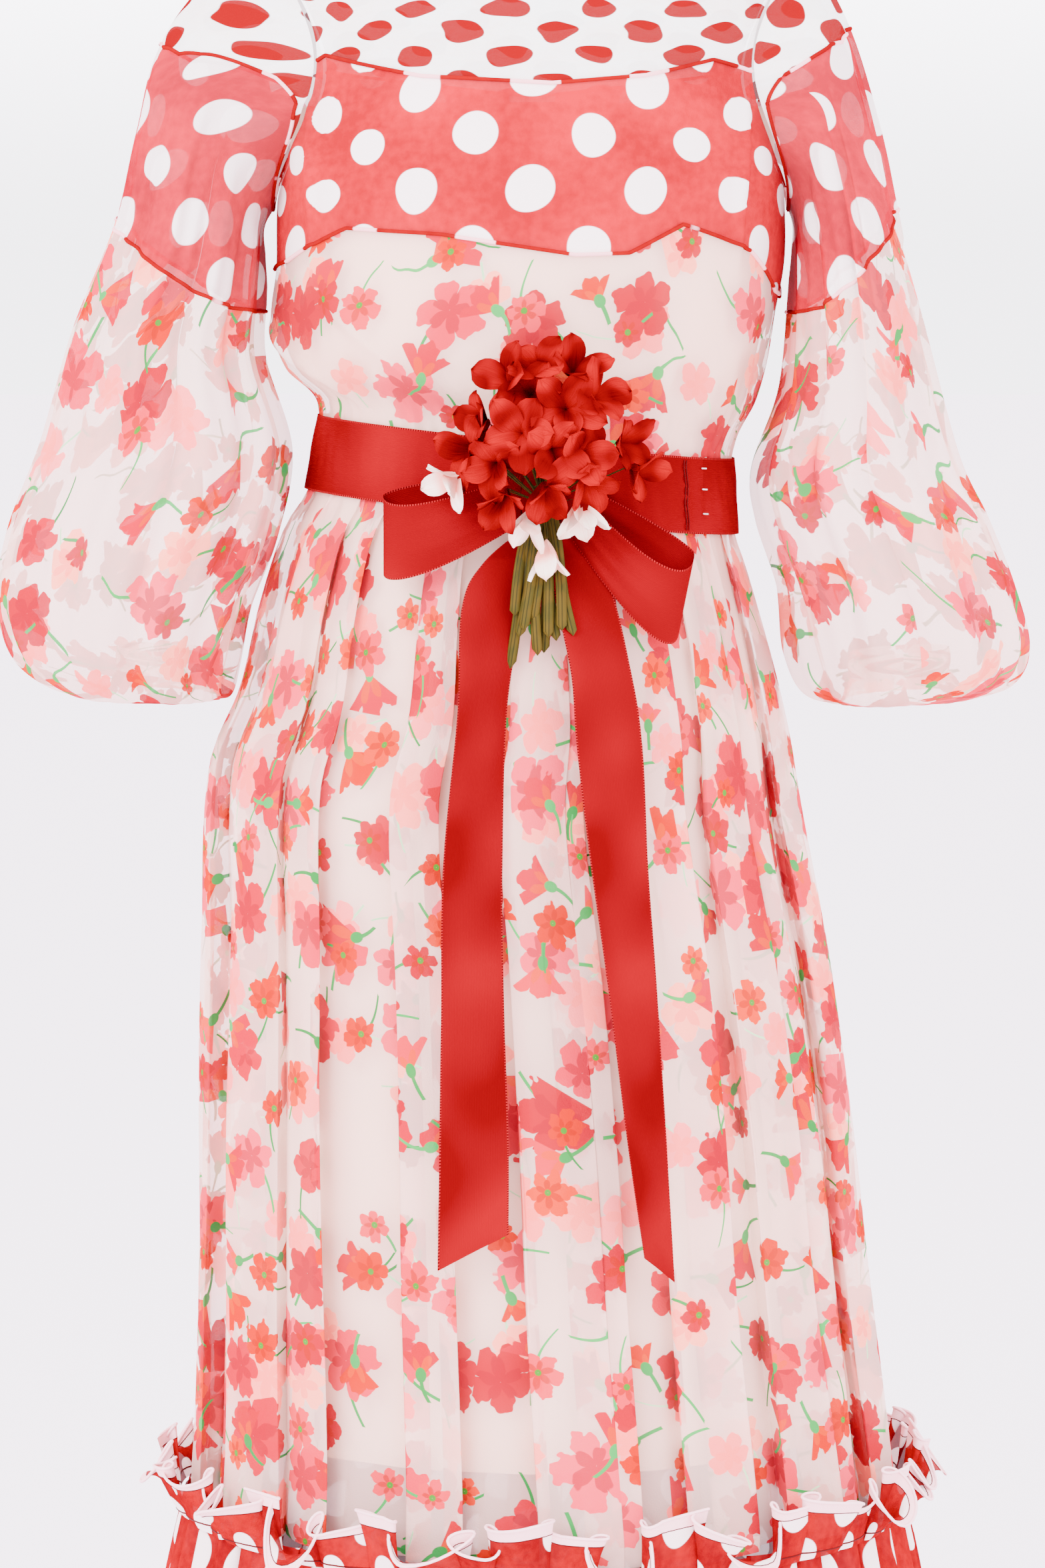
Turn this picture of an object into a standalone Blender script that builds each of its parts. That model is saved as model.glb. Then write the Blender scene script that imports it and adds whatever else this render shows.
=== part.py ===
"""Printed chiffon maxi dress, hollow and in its worn pose, with ribbon belt, bow and corsage.

Metres, +Z up, front towards -Y. The origin is where the shoulders hold it, between the neck sides.
Angles go round the body from the front middle: 0 is the front, +90 the +X side, 180 the back.
"""

import math
from collections import namedtuple

import bmesh
import bpy
import numpy as np
from mathutils import Matrix, Vector

# Driving sizes
WAIST_HEIGHT = -0.362
WAIST_SLOPE = -0.105
HEADER_HEIGHT = -0.957
HEADER_FRONT_LIFT = 0.009
HEM_HEIGHT = -1.400
CLOTH_WALL = 0.0014
RIBBON_WALL = 0.0010
PETAL_WALL = 0.0012
SEAM_GAP = 0.0003
GATHERED_SEAM_GAP = 0.0005
RIBBON_WIDTH = 0.044

# Armholes and yoke
UNDERARM_HEIGHT = -0.207
SHOULDER_HEIGHT = -0.043
ARMHOLE_ANGLE = math.radians(33)
NECK_HEIGHT = -0.004
NECK_BAND_DEPTH = 0.012
YOKE_GATHERS = 5
YOKE_GATHER_RELIEF = 0.0030
YOKE_GATHER_START = -0.115
YOKE_GATHER_RUN = 0.080
YOKE_PLAIN_SHARE = 0.35

# Column and row counts
BODICE_COLUMNS = 20
SLEEVE_COLUMNS = 24
LINING_COLUMNS = 12  # to each half
BELT_COLUMNS = 60
CUFF_COLUMNS = 16
SKIRT_FOLDS = 14
FLOUNCE_WAVES = 17
HEADER_WAVES = 21
COLUMNS_A_FOLD = 4
SIDE_SEAM_FLAT = math.radians(1.2)
SIDE_SEAM_ANGLE = 0.0024
SKIRT_SIDE_SEAM_ANGLE = 0.0010
SKIRT_LENGTH = WAIST_HEIGHT - HEADER_HEIGHT
FLOUNCE_HEIGHTS = (-1.030, -1.200, HEM_HEIGHT)
SKIRT_FRACTIONS = (0.0, 0.037, 0.10, 0.20, 0.36, 0.62, 1.0)

# Header ruffle
HEADER_ABOVE = 0.017
HEADER_BELOW = 0.007
HEADER_WAVE_DEPTH = 0.013
HEADER_SEWN_WAVE_DEPTH = 0.003
HEADER_SEAT = 0.0011

# Linings
LINING_TOP = -0.150
LINING_HEM = -0.925
LINING_WAIST_INSET = 0.0024
BODICE_LINING_INSET = 0.0065
BODICE_LINING_EASE = 0.15
SKIRT_LINING_WAIST_INSET = 0.0012
SKIRT_LINING_INSET = 0.0040
SKIRT_LINING_EASE = 0.10
LINING_SIDE_SEAM_ANGLE = 0.0030
BODICE_LINING_FRACTIONS = (0.0, 0.15, 0.40, 0.70, 1.0)
LINING_TIERS = {"upper": SKIRT_FRACTIONS[:4], "middle": SKIRT_FRACTIONS[3:6], "lower": SKIRT_FRACTIONS[5:]}
TROUGH_CLEARANCE = 1.05

# Belt, bow and corsage
BELT_SEAT = CLOTH_WALL / 2 + SEAM_GAP + RIBBON_WALL / 2 + 0.0003
TILT_START = -0.270
TILT_FULL = -0.333
BELT_END_ANGLES = (math.radians(14), math.radians(55))
BELT_END_COLUMNS = 6
BELT_END_SEAT = RIBBON_WALL + SEAM_GAP + 0.0002
KNOT_CENTRE = Vector((0.0064, -0.1038, -0.3720))
KNOT_SIZE = Vector((0.022, 0.009, 0.036))
KNOT_BEVEL = 0.003
LOOP_STEPS = 12
LOOP_ROOT_HALF_WIDTH = 0.013
LOOP_ROOT_GAP = 0.0026
LOOP_BACK_BULGE = 0.003
LOOP_FRONT_BULGE = 0.013
TAIL_STEPS = 13
TAIL_SEAT = 0.0016
TAIL_ROOT_DEPTH = KNOT_CENTRE.y - 0.001
TAIL_LOOSE_SHARE = 0.12
TIE_CENTRE = Vector((0.0080, -0.1150, -0.3740))
TIE_RADIUS = 0.0060
TIE_LENGTH = 0.022
STEM_SPACING = 0.0012
STEM_START = 0.004
STEM_RADIUS = 0.0024
TOP_STEM_RADIUS = 0.0012

BodySection = namedtuple(
    "BodySection", "height front_height back_height half_width front back centre"
)
BODICE_SECTIONS = (
    BodySection(-0.362, -0.362, -0.362, 0.1215, 0.0920, 0.0820, -0.0030),
    BodySection(-0.343, -0.343, -0.343, 0.1205, 0.0925, 0.0815, -0.0020),
    BodySection(-0.328, -0.328, -0.328, 0.1240, 0.0985, 0.0850, -0.0015),
    BodySection(-0.310, -0.310, -0.310, 0.1378, 0.1110, 0.0920, -0.0050),
    BodySection(-0.278, -0.278, -0.278, 0.1464, 0.1205, 0.0990, -0.0047),
    BodySection(-0.241, -0.241, -0.241, 0.1485, 0.1250, 0.1010, -0.0005),
    BodySection(-0.175, -0.175, -0.175, 0.1478, 0.1260, 0.1030, 0.0017),
    BodySection(-0.130, -0.131, -0.130, 0.1475, 0.1170, 0.1030, 0.0024),
    BodySection(-0.087, -0.096, -0.090, 0.1480, 0.1010, 0.0980, 0.0026),
    BodySection(-0.043, -0.062, -0.047, 0.1480, 0.0800, 0.0870, 0.0020),
    BodySection(-0.022, -0.037, -0.022, 0.1090, 0.0660, 0.0720, 0.0010),
    BodySection(-0.004, -0.017, -0.004, 0.0700, 0.0560, 0.0600, 0.0000),
)

SkirtSection = namedtuple("SkirtSection", "height half_width front back centre fold_depth")
SKIRT_SECTIONS = (
    SkirtSection(-0.362, 0.1215, 0.0920, 0.0820, -0.0030, 0.0010),
    SkirtSection(-0.384, 0.1262, 0.0960, 0.0880, -0.0045, 0.0025),
    SkirtSection(-0.4064, 0.1371, 0.1035, 0.0980, -0.0075, 0.0055),
    SkirtSection(-0.4528, 0.1515, 0.1170, 0.1180, -0.0085, 0.0080),
    SkirtSection(-0.4993, 0.1625, 0.1290, 0.1320, -0.0090, 0.0100),
    SkirtSection(-0.5460, 0.1755, 0.1380, 0.1420, -0.0145, 0.0120),
    SkirtSection(-0.6400, 0.1872, 0.1500, 0.1540, -0.0075, 0.0145),
    SkirtSection(-0.7347, 0.1964, 0.1580, 0.1620, -0.0019, 0.0160),
    SkirtSection(-0.8302, 0.2023, 0.1650, 0.1700, 0.0024, 0.0165),
    SkirtSection(-0.9264, 0.2095, 0.1720, 0.1780, 0.0078, 0.0160),
    SkirtSection(-0.9570, 0.2125, 0.1750, 0.1810, 0.0090, 0.0150),
)
FLOUNCE_SECTIONS = (
    SkirtSection(-0.9570, 0.2125, 0.1750, 0.1810, 0.0090, 0.0030),
    SkirtSection(-0.9800, 0.2190, 0.1820, 0.1880, 0.0090, 0.0085),
    SkirtSection(-1.0400, 0.2320, 0.1950, 0.2010, 0.0085, 0.0150),
    SkirtSection(-1.1800, 0.2550, 0.2170, 0.2230, 0.0060, 0.0190),
    SkirtSection(-1.4000, 0.2860, 0.2460, 0.2520, 0.0030, 0.0240),
)

SeamPoint = namedtuple("SeamPoint", "angle height")
BAND_TOP = (
    SeamPoint(-90, -0.142),
    SeamPoint(-70, -0.137),
    SeamPoint(-53, -0.121),
    SeamPoint(-25, -0.1345),
    SeamPoint(4, -0.139),
    SeamPoint(25, -0.134),
    SeamPoint(43, -0.124),
    SeamPoint(70, -0.137),
    SeamPoint(90, -0.146),
    SeamPoint(125, -0.126),
    SeamPoint(150, -0.131),
    SeamPoint(180, -0.139),
    SeamPoint(210, -0.131),
    SeamPoint(235, -0.126),
    SeamPoint(270, -0.142),
)
BAND_BOTTOM = (
    SeamPoint(-90, -0.243),
    SeamPoint(-68, -0.238),
    SeamPoint(-44, -0.2195),
    SeamPoint(-20, -0.223),
    SeamPoint(10, -0.2345),
    SeamPoint(22, -0.2335),
    SeamPoint(35, -0.2175),
    SeamPoint(58, -0.232),
    SeamPoint(75, -0.255),
    SeamPoint(90, -0.259),
    SeamPoint(120, -0.232),
    SeamPoint(150, -0.221),
    SeamPoint(180, -0.235),
    SeamPoint(210, -0.221),
    SeamPoint(240, -0.232),
    SeamPoint(270, -0.243),
)

# Soft folds of the bloused bodice, each a ridge between two places
DRAPE_RADIUS = 0.13
DRAPE_RUN_OUT = 0.3
DrapeFold = namedtuple("DrapeFold", "angle0 height0 angle1 height1 width relief")
BODICE_FOLDS = (
    DrapeFold(-50, -0.250, -22, -0.325, 0.012, 0.0050),
    DrapeFold(-78, -0.285, -48, -0.330, 0.012, 0.0045),
    DrapeFold(30, -0.262, 12, -0.325, 0.013, 0.0040),
    DrapeFold(62, -0.268, 50, -0.330, 0.014, 0.0045),
    DrapeFold(140, -0.255, 165, -0.325, 0.014, 0.0045),
    DrapeFold(215, -0.258, 195, -0.325, 0.014, 0.0045),
    DrapeFold(108, -0.275, 120, -0.328, 0.013, 0.0040),
    DrapeFold(250, -0.275, 238, -0.328, 0.013, 0.0040),
)

# Each sleeve ring runs from its outer line to its inner line; front is its half depth
SleeveSection = namedtuple("SleeveSection", "outer outer_height inner inner_height depth middle")
SLEEVE_SECTIONS = {
    "left": (
        SleeveSection(0.1500, -0.0430, 0.1500, -0.2070, 0.0600, 0.000),
        SleeveSection(0.1860, -0.0745, 0.1560, -0.2200, 0.0640, 0.000),
        SleeveSection(0.2165, -0.1163, 0.1565, -0.2350, 0.0680, 0.000),
        SleeveSection(0.2280, -0.1620, 0.1570, -0.2470, 0.0710, -0.002),
        SleeveSection(0.2395, -0.2150, 0.1575, -0.2620, 0.0740, -0.004),
        SleeveSection(0.2645, -0.2780, 0.1575, -0.2950, 0.0780, -0.008),
        SleeveSection(0.2836, -0.3420, 0.1420, -0.3480, 0.0820, -0.012),
        SleeveSection(0.3040, -0.3950, 0.1500, -0.3980, 0.0860, -0.016),
        SleeveSection(0.3105, -0.4388, 0.1655, -0.4400, 0.0860, -0.018),
        SleeveSection(0.2990, -0.4700, 0.1740, -0.4720, 0.0780, -0.018),
        SleeveSection(0.2720, -0.4890, 0.1785, -0.4900, 0.0600, -0.018),
        SleeveSection(0.2490, -0.4880, 0.1820, -0.4920, 0.0440, -0.018),
        SleeveSection(0.2420, -0.4760, 0.1825, -0.4800, 0.0315, -0.018),
    ),
    "right": (
        SleeveSection(0.1500, -0.0430, 0.1500, -0.2070, 0.0600, 0.000),
        SleeveSection(0.1700, -0.0720, 0.1550, -0.2190, 0.0620, 0.000),
        SleeveSection(0.1870, -0.1073, 0.1555, -0.2320, 0.0640, 0.000),
        SleeveSection(0.2020, -0.1580, 0.1555, -0.2440, 0.0660, -0.002),
        SleeveSection(0.2131, -0.2092, 0.1550, -0.2590, 0.0690, -0.004),
        SleeveSection(0.2322, -0.2913, 0.1500, -0.3120, 0.0740, -0.008),
        SleeveSection(0.2490, -0.3510, 0.1345, -0.3580, 0.0780, -0.012),
        SleeveSection(0.2655, -0.3850, 0.1370, -0.3880, 0.0810, -0.016),
        SleeveSection(0.2820, -0.4250, 0.1500, -0.4270, 0.0830, -0.018),
        SleeveSection(0.2920, -0.4600, 0.1570, -0.4640, 0.0790, -0.018),
        SleeveSection(0.2830, -0.4840, 0.1670, -0.4900, 0.0640, -0.018),
        SleeveSection(0.2590, -0.4900, 0.1830, -0.4950, 0.0450, -0.018),
        SleeveSection(0.2465, -0.4770, 0.1880, -0.4810, 0.0305, -0.018),
    ),
}
# Seams of the sleeve band, in rows of the tables above, round from the outer line by the front
SleeveSeam = namedtuple("SleeveSeam", "angle row")
SLEEVE_BAND_TOP = (
    SleeveSeam(0, 1.90),
    SleeveSeam(50, 2.20),
    SleeveSeam(95, 1.90),
    SleeveSeam(140, 2.25),
    SleeveSeam(180, 2.05),
    SleeveSeam(225, 2.25),
    SleeveSeam(270, 1.95),
    SleeveSeam(315, 2.20),
    SleeveSeam(360, 1.90),
)
SLEEVE_BAND_BOTTOM = (
    SleeveSeam(0, 3.95),
    SleeveSeam(60, 4.15),
    SleeveSeam(120, 4.30),
    SleeveSeam(180, 4.20),
    SleeveSeam(240, 4.30),
    SleeveSeam(300, 4.15),
    SleeveSeam(360, 3.95),
)
BALLOON_FRACTIONS = (0.0, 0.14, 0.28, 0.40, 0.52, 0.64, 0.76, 0.88, 1.0)
SLEEVE_SEAM_GAP = 0.0006
SLEEVE_GATHERS = 6
SLEEVE_GATHER_FIRST_ROW = 8.0
SLEEVE_GATHER_ROWS = 3.0
SLEEVE_GATHER_RELIEF = 0.0040
CUFF_HEIGHT = 0.014

# Ribbon tails: height, middle, width and turn about the length, in degrees
TailSection = namedtuple("TailSection", "height middle width turn")
TAILS = {
    "left": (
        TailSection(-0.3905, 0.0005, 0.012, 0),
        TailSection(-0.4080, -0.0100, 0.024, 8),
        TailSection(-0.4300, -0.0205, 0.033, 12),
        TailSection(-0.4850, -0.0275, 0.038, 25),
        TailSection(-0.5750, -0.0328, 0.040, 20),
        TailSection(-0.6600, -0.0325, 0.040, 10),
        TailSection(-0.7300, -0.0318, 0.040, 6),
        TailSection(-0.7920, -0.0320, 0.040, 6),
    ),
    "right": (
        TailSection(-0.3905, 0.0125, 0.010, 0),
        TailSection(-0.4100, 0.0270, 0.026, 5),
        TailSection(-0.4640, 0.0400, 0.040, 20),
        TailSection(-0.5090, 0.0460, 0.040, 15),
        TailSection(-0.5750, 0.0505, 0.040, 36),
        TailSection(-0.6400, 0.0575, 0.040, 46),
        TailSection(-0.7290, 0.0660, 0.040, 56),
        TailSection(-0.7950, 0.0730, 0.034, 58),
    ),
}
TAIL_END_SLANT = 0.020
TAIL_SLANT_FROM = 0.86
LoopShape = namedtuple("LoopShape", "side sign reach drop lean")
LOOPS = (LoopShape("left", -1, 0.078, 0.016, 0.0), LoopShape("right", 1, 0.078, 0.050, 0.25))

# Blossoms: stem end, and the size across
Blossom = namedtuple("Blossom", "name x y z across")
RED_BLOSSOMS = (
    Blossom("blossom_red_1", -0.0225, -0.1430, -0.3080, 0.041),
    Blossom("blossom_red_2", 0.0110, -0.1400, -0.3000, 0.040),
    Blossom("blossom_red_3", 0.0385, -0.1420, -0.3130, 0.040),
    Blossom("blossom_red_4", -0.0260, -0.1320, -0.3400, 0.038),
    Blossom("blossom_red_5", 0.0090, -0.1560, -0.3300, 0.040),
    Blossom("blossom_red_6", 0.0430, -0.1340, -0.3480, 0.036),
    Blossom("blossom_red_7", -0.0120, -0.1500, -0.3560, 0.034),
    Blossom("blossom_red_8", 0.0240, -0.1460, -0.3650, 0.034),
)
PALE_BLOSSOMS = (
    Blossom("blossom_pale_1", -0.0440, -0.1250, -0.3590, 0.028),
    Blossom("blossom_pale_2", -0.0080, -0.1300, -0.3860, 0.026),
    Blossom("blossom_pale_3", 0.0170, -0.1320, -0.3970, 0.026),
    Blossom("blossom_pale_4", 0.0440, -0.1260, -0.3780, 0.024),
)
PETALS = 5
PETAL_LENGTH_SHARE = 0.42
PETAL_THROAT_REACH = 0.42
PETAL_THROAT_RISE = 0.34
# Each petal's outline: part of its turn, reach from the middle, rise along the blossom
PetalPoint = namedtuple("PetalPoint", "part reach rise")
PETAL_OUTLINE = (PetalPoint(0.0, 0.50, 0.52), PetalPoint(0.30, 1.0, 1.0), PetalPoint(0.70, 1.0, 0.94))
BODICE_FINISHES = {
    "yoke": "white_dotted_chiffon",
    "chest_band": "red_dotted_chiffon",
    "bodice": "floral_chiffon",
}
# Lower stems: where each one ends
StemEnd = namedtuple("StemEnd", "x y z")
STEM_ENDS = (
    StemEnd(-0.0110, -0.1300, -0.4520),
    StemEnd(-0.0045, -0.1320, -0.4360),
    StemEnd(0.0020, -0.1340, -0.4440),
    StemEnd(0.0085, -0.1330, -0.4520),
    StemEnd(0.0150, -0.1340, -0.4470),
    StemEnd(0.0215, -0.1320, -0.4400),
)

MATERIALS = {
    "white_dotted_chiffon": ("F6EEEC", 0.75),
    "red_dotted_chiffon": ("E8434B", 0.70),
    "floral_chiffon": ("F7E6DC", 0.75),
    "lining_satin": ("F7F1E4", 0.55),
    "red_satin_ribbon": ("D30C16", 0.35),
    "red_petal_cloth": ("E01420", 0.60),
    "pale_petal_cloth": ("F7DEDC", 0.60),
    "green_stem_paper": ("6E7A35", 0.70),
}


def linear_colour(text):
    """A hex colour as the linear values that a shader takes."""
    channels = [int(text[i : i + 2], 16) / 255 for i in (0, 2, 4)]
    return [c / 12.92 if c <= 0.04045 else ((c + 0.055) / 1.055) ** 2.4 for c in channels] + [1.0]


def make_material(name):
    colour, roughness = MATERIALS[name]
    material = bpy.data.materials.new(name)
    material.use_nodes = True
    shader = material.node_tree.nodes["Principled BSDF"]
    shader.inputs["Base Color"].default_value = linear_colour(colour)
    shader.inputs["Roughness"].default_value = roughness
    shader.inputs["Metallic"].default_value = 0.0
    return material


def smooth_through(places, values, place):
    """Reads a smooth curve through the values at the given rising places."""
    places = np.asarray(places, float)
    values = np.asarray(values, float)
    place = min(max(place, places[0]), places[-1])
    i = int(min(max(np.searchsorted(places, place) - 1, 0), len(places) - 2))
    slopes = []
    for k in (i, i + 1):
        low, high = max(k - 1, 0), min(k + 1, len(places) - 1)
        slopes.append((values[high] - values[low]) / (places[high] - places[low]))
    span = places[i + 1] - places[i]
    t = (place - places[i]) / span
    return (
        (2 * t**3 - 3 * t**2 + 1) * values[i]
        + (t**3 - 2 * t**2 + t) * span * slopes[0]
        + (3 * t**2 - 2 * t**3) * values[i + 1]
        + (t**3 - t**2) * span * slopes[1]
    )


def section_at(sections, height):
    """One section of a tube, worked out between its neighbours."""
    rows = sorted(sections)
    values = smooth_through([row.height for row in rows], rows, height)
    return type(rows[0])(*values)


def seam_height(seam, angle):
    """Height of a scalloped seam at an angle round the body."""
    degrees = (math.degrees(angle) + 90) % 360 - 90
    return float(np.interp(degrees, [p.angle for p in seam], [p.height for p in seam]))


def sleeve_seam_row(seam, angle):
    return float(np.interp(math.degrees(angle) % 360, [p.angle for p in seam], [p.row for p in seam]))


def waist_height(x):
    return WAIST_HEIGHT + WAIST_SLOPE * x


def waist_tilt(x, height):
    """The belt slopes across the front, and the bodice above it follows."""
    share = (TILT_START - height) / (TILT_START - TILT_FULL)
    return WAIST_SLOPE * x * min(max(share, 0.0), 1.0)


def oval_point(section, angle, inset, height):
    """A point of a section, front and back having their own half depths."""
    depth = section.front if math.cos(angle) > 0 else section.back
    x = section.centre + (section.half_width - inset) * math.sin(angle)
    return Vector((x, -(depth - inset) * math.cos(angle), height))


def drape_relief(angle, height):
    """How far the soft folds stand out from the bloused bodice."""
    degrees = (math.degrees(angle) + 90) % 360 - 90
    relief = 0.0
    for fold in BODICE_FOLDS:
        along = (fold.height0 - height) / (fold.height0 - fold.height1)
        if not -DRAPE_RUN_OUT < along < 1.0:
            continue
        middle = fold.angle0 + (fold.angle1 - fold.angle0) * along
        away = math.radians(degrees - middle) * DRAPE_RADIUS
        swell = math.sin(math.pi * (along + DRAPE_RUN_OUT) / (1 + DRAPE_RUN_OUT))
        relief += fold.relief * math.exp(-((away / fold.width) ** 2)) * swell
    return relief


def yoke_gather(angle, height):
    """Soft gathers that run down from the neck band, deepest near it."""
    near_neck = min(max((height - YOKE_GATHER_START) / YOKE_GATHER_RUN, 0.0), 1.0)
    middle = (abs(math.cos(angle)) - YOKE_PLAIN_SHARE) / (1 - YOKE_PLAIN_SHARE)
    wave = 0.5 - 0.5 * math.cos(4 * YOKE_GATHERS * angle)
    return YOKE_GATHER_RELIEF * near_neck * wave * max(middle, 0.0)


def bodice_point(angle, height, inset=0.0):
    section = section_at(BODICE_SECTIONS, height)
    side = math.sin(angle) ** 2
    end_height = section.front_height if math.cos(angle) > 0 else section.back_height
    z = height * side + end_height * (1 - side)
    inset = inset + yoke_gather(angle, height) - drape_relief(angle, height)
    point = oval_point(section, angle, inset, z)
    point.z += waist_tilt(point.x, height)
    return point


def armhole_width(height):
    """Half of the armhole's angle at a height, nothing above or below it."""
    part = (height - UNDERARM_HEIGHT) / (SHOULDER_HEIGHT - UNDERARM_HEIGHT)
    return ARMHOLE_ANGLE * math.sin(math.pi * part) if 0 < part < 1 else 0.0


def between(lower, upper, share):
    """A line round the body part of the way from one seam to another."""
    return lambda angle: lower(angle) + share * (upper(angle) - lower(angle))


def level(height):
    return lambda angle: height


def bodice_rows(middle_angle, lines):
    """One bodice panel through lines round the body, stopping at the side seams and armholes."""
    rows = []
    for number, line in enumerate(lines):
        inward = SEAM_GAP / 2 * ((number == 0) - (number == len(lines) - 1))
        row = []
        for column in range(BODICE_COLUMNS + 1):
            across = 2 * column / BODICE_COLUMNS - 1
            angle = middle_angle + across * math.pi / 2
            for _ in range(12):
                height = line(angle) + inward
                edge = math.pi / 2 - armhole_width(height) - SIDE_SEAM_ANGLE
                angle = middle_angle + across * edge
            row.append(bodice_point(angle, height))
        rows.append(row)
    return rows


def fold_columns(folds, uneven, start):
    """Angles and fold phases across half a tube, with a short flat stretch at each side seam."""
    widths = [1 + uneven * math.sin(2.4 * k + start) for k in range(folds)]
    scale = math.pi / sum(widths)
    columns = [(-math.pi / 2, 0.0, 0), (-math.pi / 2 + SIDE_SEAM_FLAT, 0.0, 0)]
    place = -math.pi / 2
    for k, width in enumerate(widths):
        for part in range(1, COLUMNS_A_FOLD + 1):
            phase = part / COLUMNS_A_FOLD
            angle = place + width * scale * phase
            if k == folds - 1 and part == COLUMNS_A_FOLD:
                columns.append((angle - SIDE_SEAM_FLAT, 1.0, k))
            columns.append((angle, phase, k))
        place += width * scale
    return columns


def beside_seam(middle, angle):
    """The angle of a skirt column, with its panel just narrower than half the tube."""
    return middle + angle * (1 - 2 * SKIRT_SIDE_SEAM_ANGLE / math.pi)


def fold_depth_share(phase, fold):
    """0 on a crest, up to about 1 in a trough, each fold with its own depth."""
    own = 0.80 + 0.20 * math.sin(1.9 * fold + 0.6)
    return own * (0.5 + 0.5 * math.cos(2 * math.pi * phase)) + (1 - own) * 0.5


def skirt_point(angle, fraction, share):
    """A point of the skirt from the waist, fraction 0, down to the flounce seam."""
    height = WAIST_HEIGHT - fraction * SKIRT_LENGTH
    section = section_at(SKIRT_SECTIONS, height)
    point = oval_point(section, angle, section.fold_depth * share, height)
    point.z += (1 - fraction) * WAIST_SLOPE * point.x + fraction * header_lift(angle)
    return point


def header_lift(angle):
    return HEADER_FRONT_LIFT * max(math.cos(angle), 0.0) ** 2


def flounce_point(angle, height, share):
    section = section_at(FLOUNCE_SECTIONS, height)
    point = oval_point(section, angle, section.fold_depth * share, height)
    hanging = (height - HEM_HEIGHT) / (HEADER_HEIGHT - HEM_HEIGHT)
    point.z += header_lift(angle) * hanging
    return point


def sleeve_point(side, angle, row):
    """A point of a sleeve: angle 0 on the outer line, 90 at the front, 180 on the inner line."""
    sign = -1 if side == "left" else 1
    places = []
    for section in SLEEVE_SECTIONS[side]:
        outer = Vector((sign * section.outer, section.middle, section.outer_height))
        inner = Vector((sign * section.inner, section.middle, section.inner_height))
        point = (outer + inner) / 2 + (outer - inner) / 2 * math.cos(angle)
        point.y -= section.depth * math.sin(angle)
        places.append(point)
    places[0] = armhole_point(sign, angle)
    point = Vector(smooth_through(range(len(places)), places, row))
    gathered = min(max((row - SLEEVE_GATHER_FIRST_ROW) / SLEEVE_GATHER_ROWS, 0.0), 1.0)
    if gathered:
        last = SLEEVE_SECTIONS[side][-1]
        axis = Vector((sign * (last.outer + last.inner) / 2, last.middle, point.z))
        wave = math.cos(SLEEVE_GATHERS * angle)
        pull = SLEEVE_GATHER_RELIEF * math.sin(math.pi * gathered) * wave
        point += (point - axis).normalized() * pull
    return point


def armhole_point(sign, angle):
    """Where the sleeve head starts, just outside the armhole's edge."""
    part = (1 + math.cos(angle)) / 2
    height = UNDERARM_HEIGHT + part * (SHOULDER_HEIGHT - UNDERARM_HEIGHT)
    forward = math.copysign(ARMHOLE_ANGLE * math.sin(math.pi * part), math.sin(angle))
    return bodice_point(sign * (math.pi / 2 - forward), height, -(CLOTH_WALL + SEAM_GAP))


def link(obj, material, collection):
    obj.data.materials.append(material)
    collection.objects.link(obj)
    return obj


def loft(name, rows, material, collection, wall=CLOTH_WALL, closed=False):
    """A cloth wall: an open surface through rows of points, thickened both ways."""
    shape = bmesh.new()
    grid = [[shape.verts.new(point) for point in row] for row in rows]
    for lower, upper in zip(grid, grid[1:]):
        columns = len(lower) if closed else len(lower) - 1
        for i in range(columns):
            j = (i + 1) % len(lower)
            shape.faces.new((lower[i], lower[j], upper[j], upper[i]))
    mesh = bpy.data.meshes.new(name)
    shape.to_mesh(mesh)
    shape.free()
    mesh.shade_smooth()
    obj = link(bpy.data.objects.new(name, mesh), material, collection)
    solidify = obj.modifiers.new("Wall", "SOLIDIFY")
    solidify.thickness = wall
    solidify.offset = 0.0
    return obj


def build_bodice(materials, parts):
    band_top = lambda angle: seam_height(BAND_TOP, angle)
    band_bottom = lambda angle: seam_height(BAND_BOTTOM, angle)
    shoulder = level(SHOULDER_HEIGHT)
    belt_top = level(WAIST_HEIGHT + RIBBON_WIDTH / 2)
    tiers = {
        "yoke": [between(band_top, shoulder, share) for share in (0.0, 0.35, 0.70, 1.0)],
        "chest_band": [between(band_bottom, band_top, share) for share in (0.0, 0.33, 0.55, 0.78, 1.0)],
        "bodice": [between(belt_top, band_bottom, share) for share in (0.0, 0.14, 0.32, 0.54, 0.77, 1.0)],
    }
    tiers["yoke"].append(level(NECK_HEIGHT - NECK_BAND_DEPTH))
    tiers["bodice"].insert(0, level(WAIST_HEIGHT))
    for tier, lines in tiers.items():
        for side, middle in (("front", 0.0), ("back", math.pi)):
            rows = bodice_rows(middle, lines)
            loft(f"{tier}_{side}", rows, materials[BODICE_FINISHES[tier]], parts)
    rows = []
    for height in (NECK_HEIGHT - NECK_BAND_DEPTH + SEAM_GAP, NECK_HEIGHT):
        angles = [2 * math.pi * k / (2 * BODICE_COLUMNS) for k in range(2 * BODICE_COLUMNS)]
        rows.append([bodice_point(angle, height) for angle in angles])
    loft("neck_band", rows, materials["white_dotted_chiffon"], parts, closed=True)


def sleeve_rows(side, upper, lower, fractions):
    """Rings of one sleeve tier between two seams, each seam a function giving a row at an angle."""
    angles = [2 * math.pi * k / SLEEVE_COLUMNS for k in range(SLEEVE_COLUMNS)]
    rings = [[] for _ in fractions]
    for angle in angles:
        first, last = upper(angle), lower(angle)
        step = (sleeve_point(side, angle, last) - sleeve_point(side, angle, last - 0.1)).length
        last -= 0.1 * SLEEVE_SEAM_GAP / step
        for ring, fraction in zip(rings, fractions):
            ring.append(sleeve_point(side, angle, first + fraction * (last - first)))
    return rings


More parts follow.
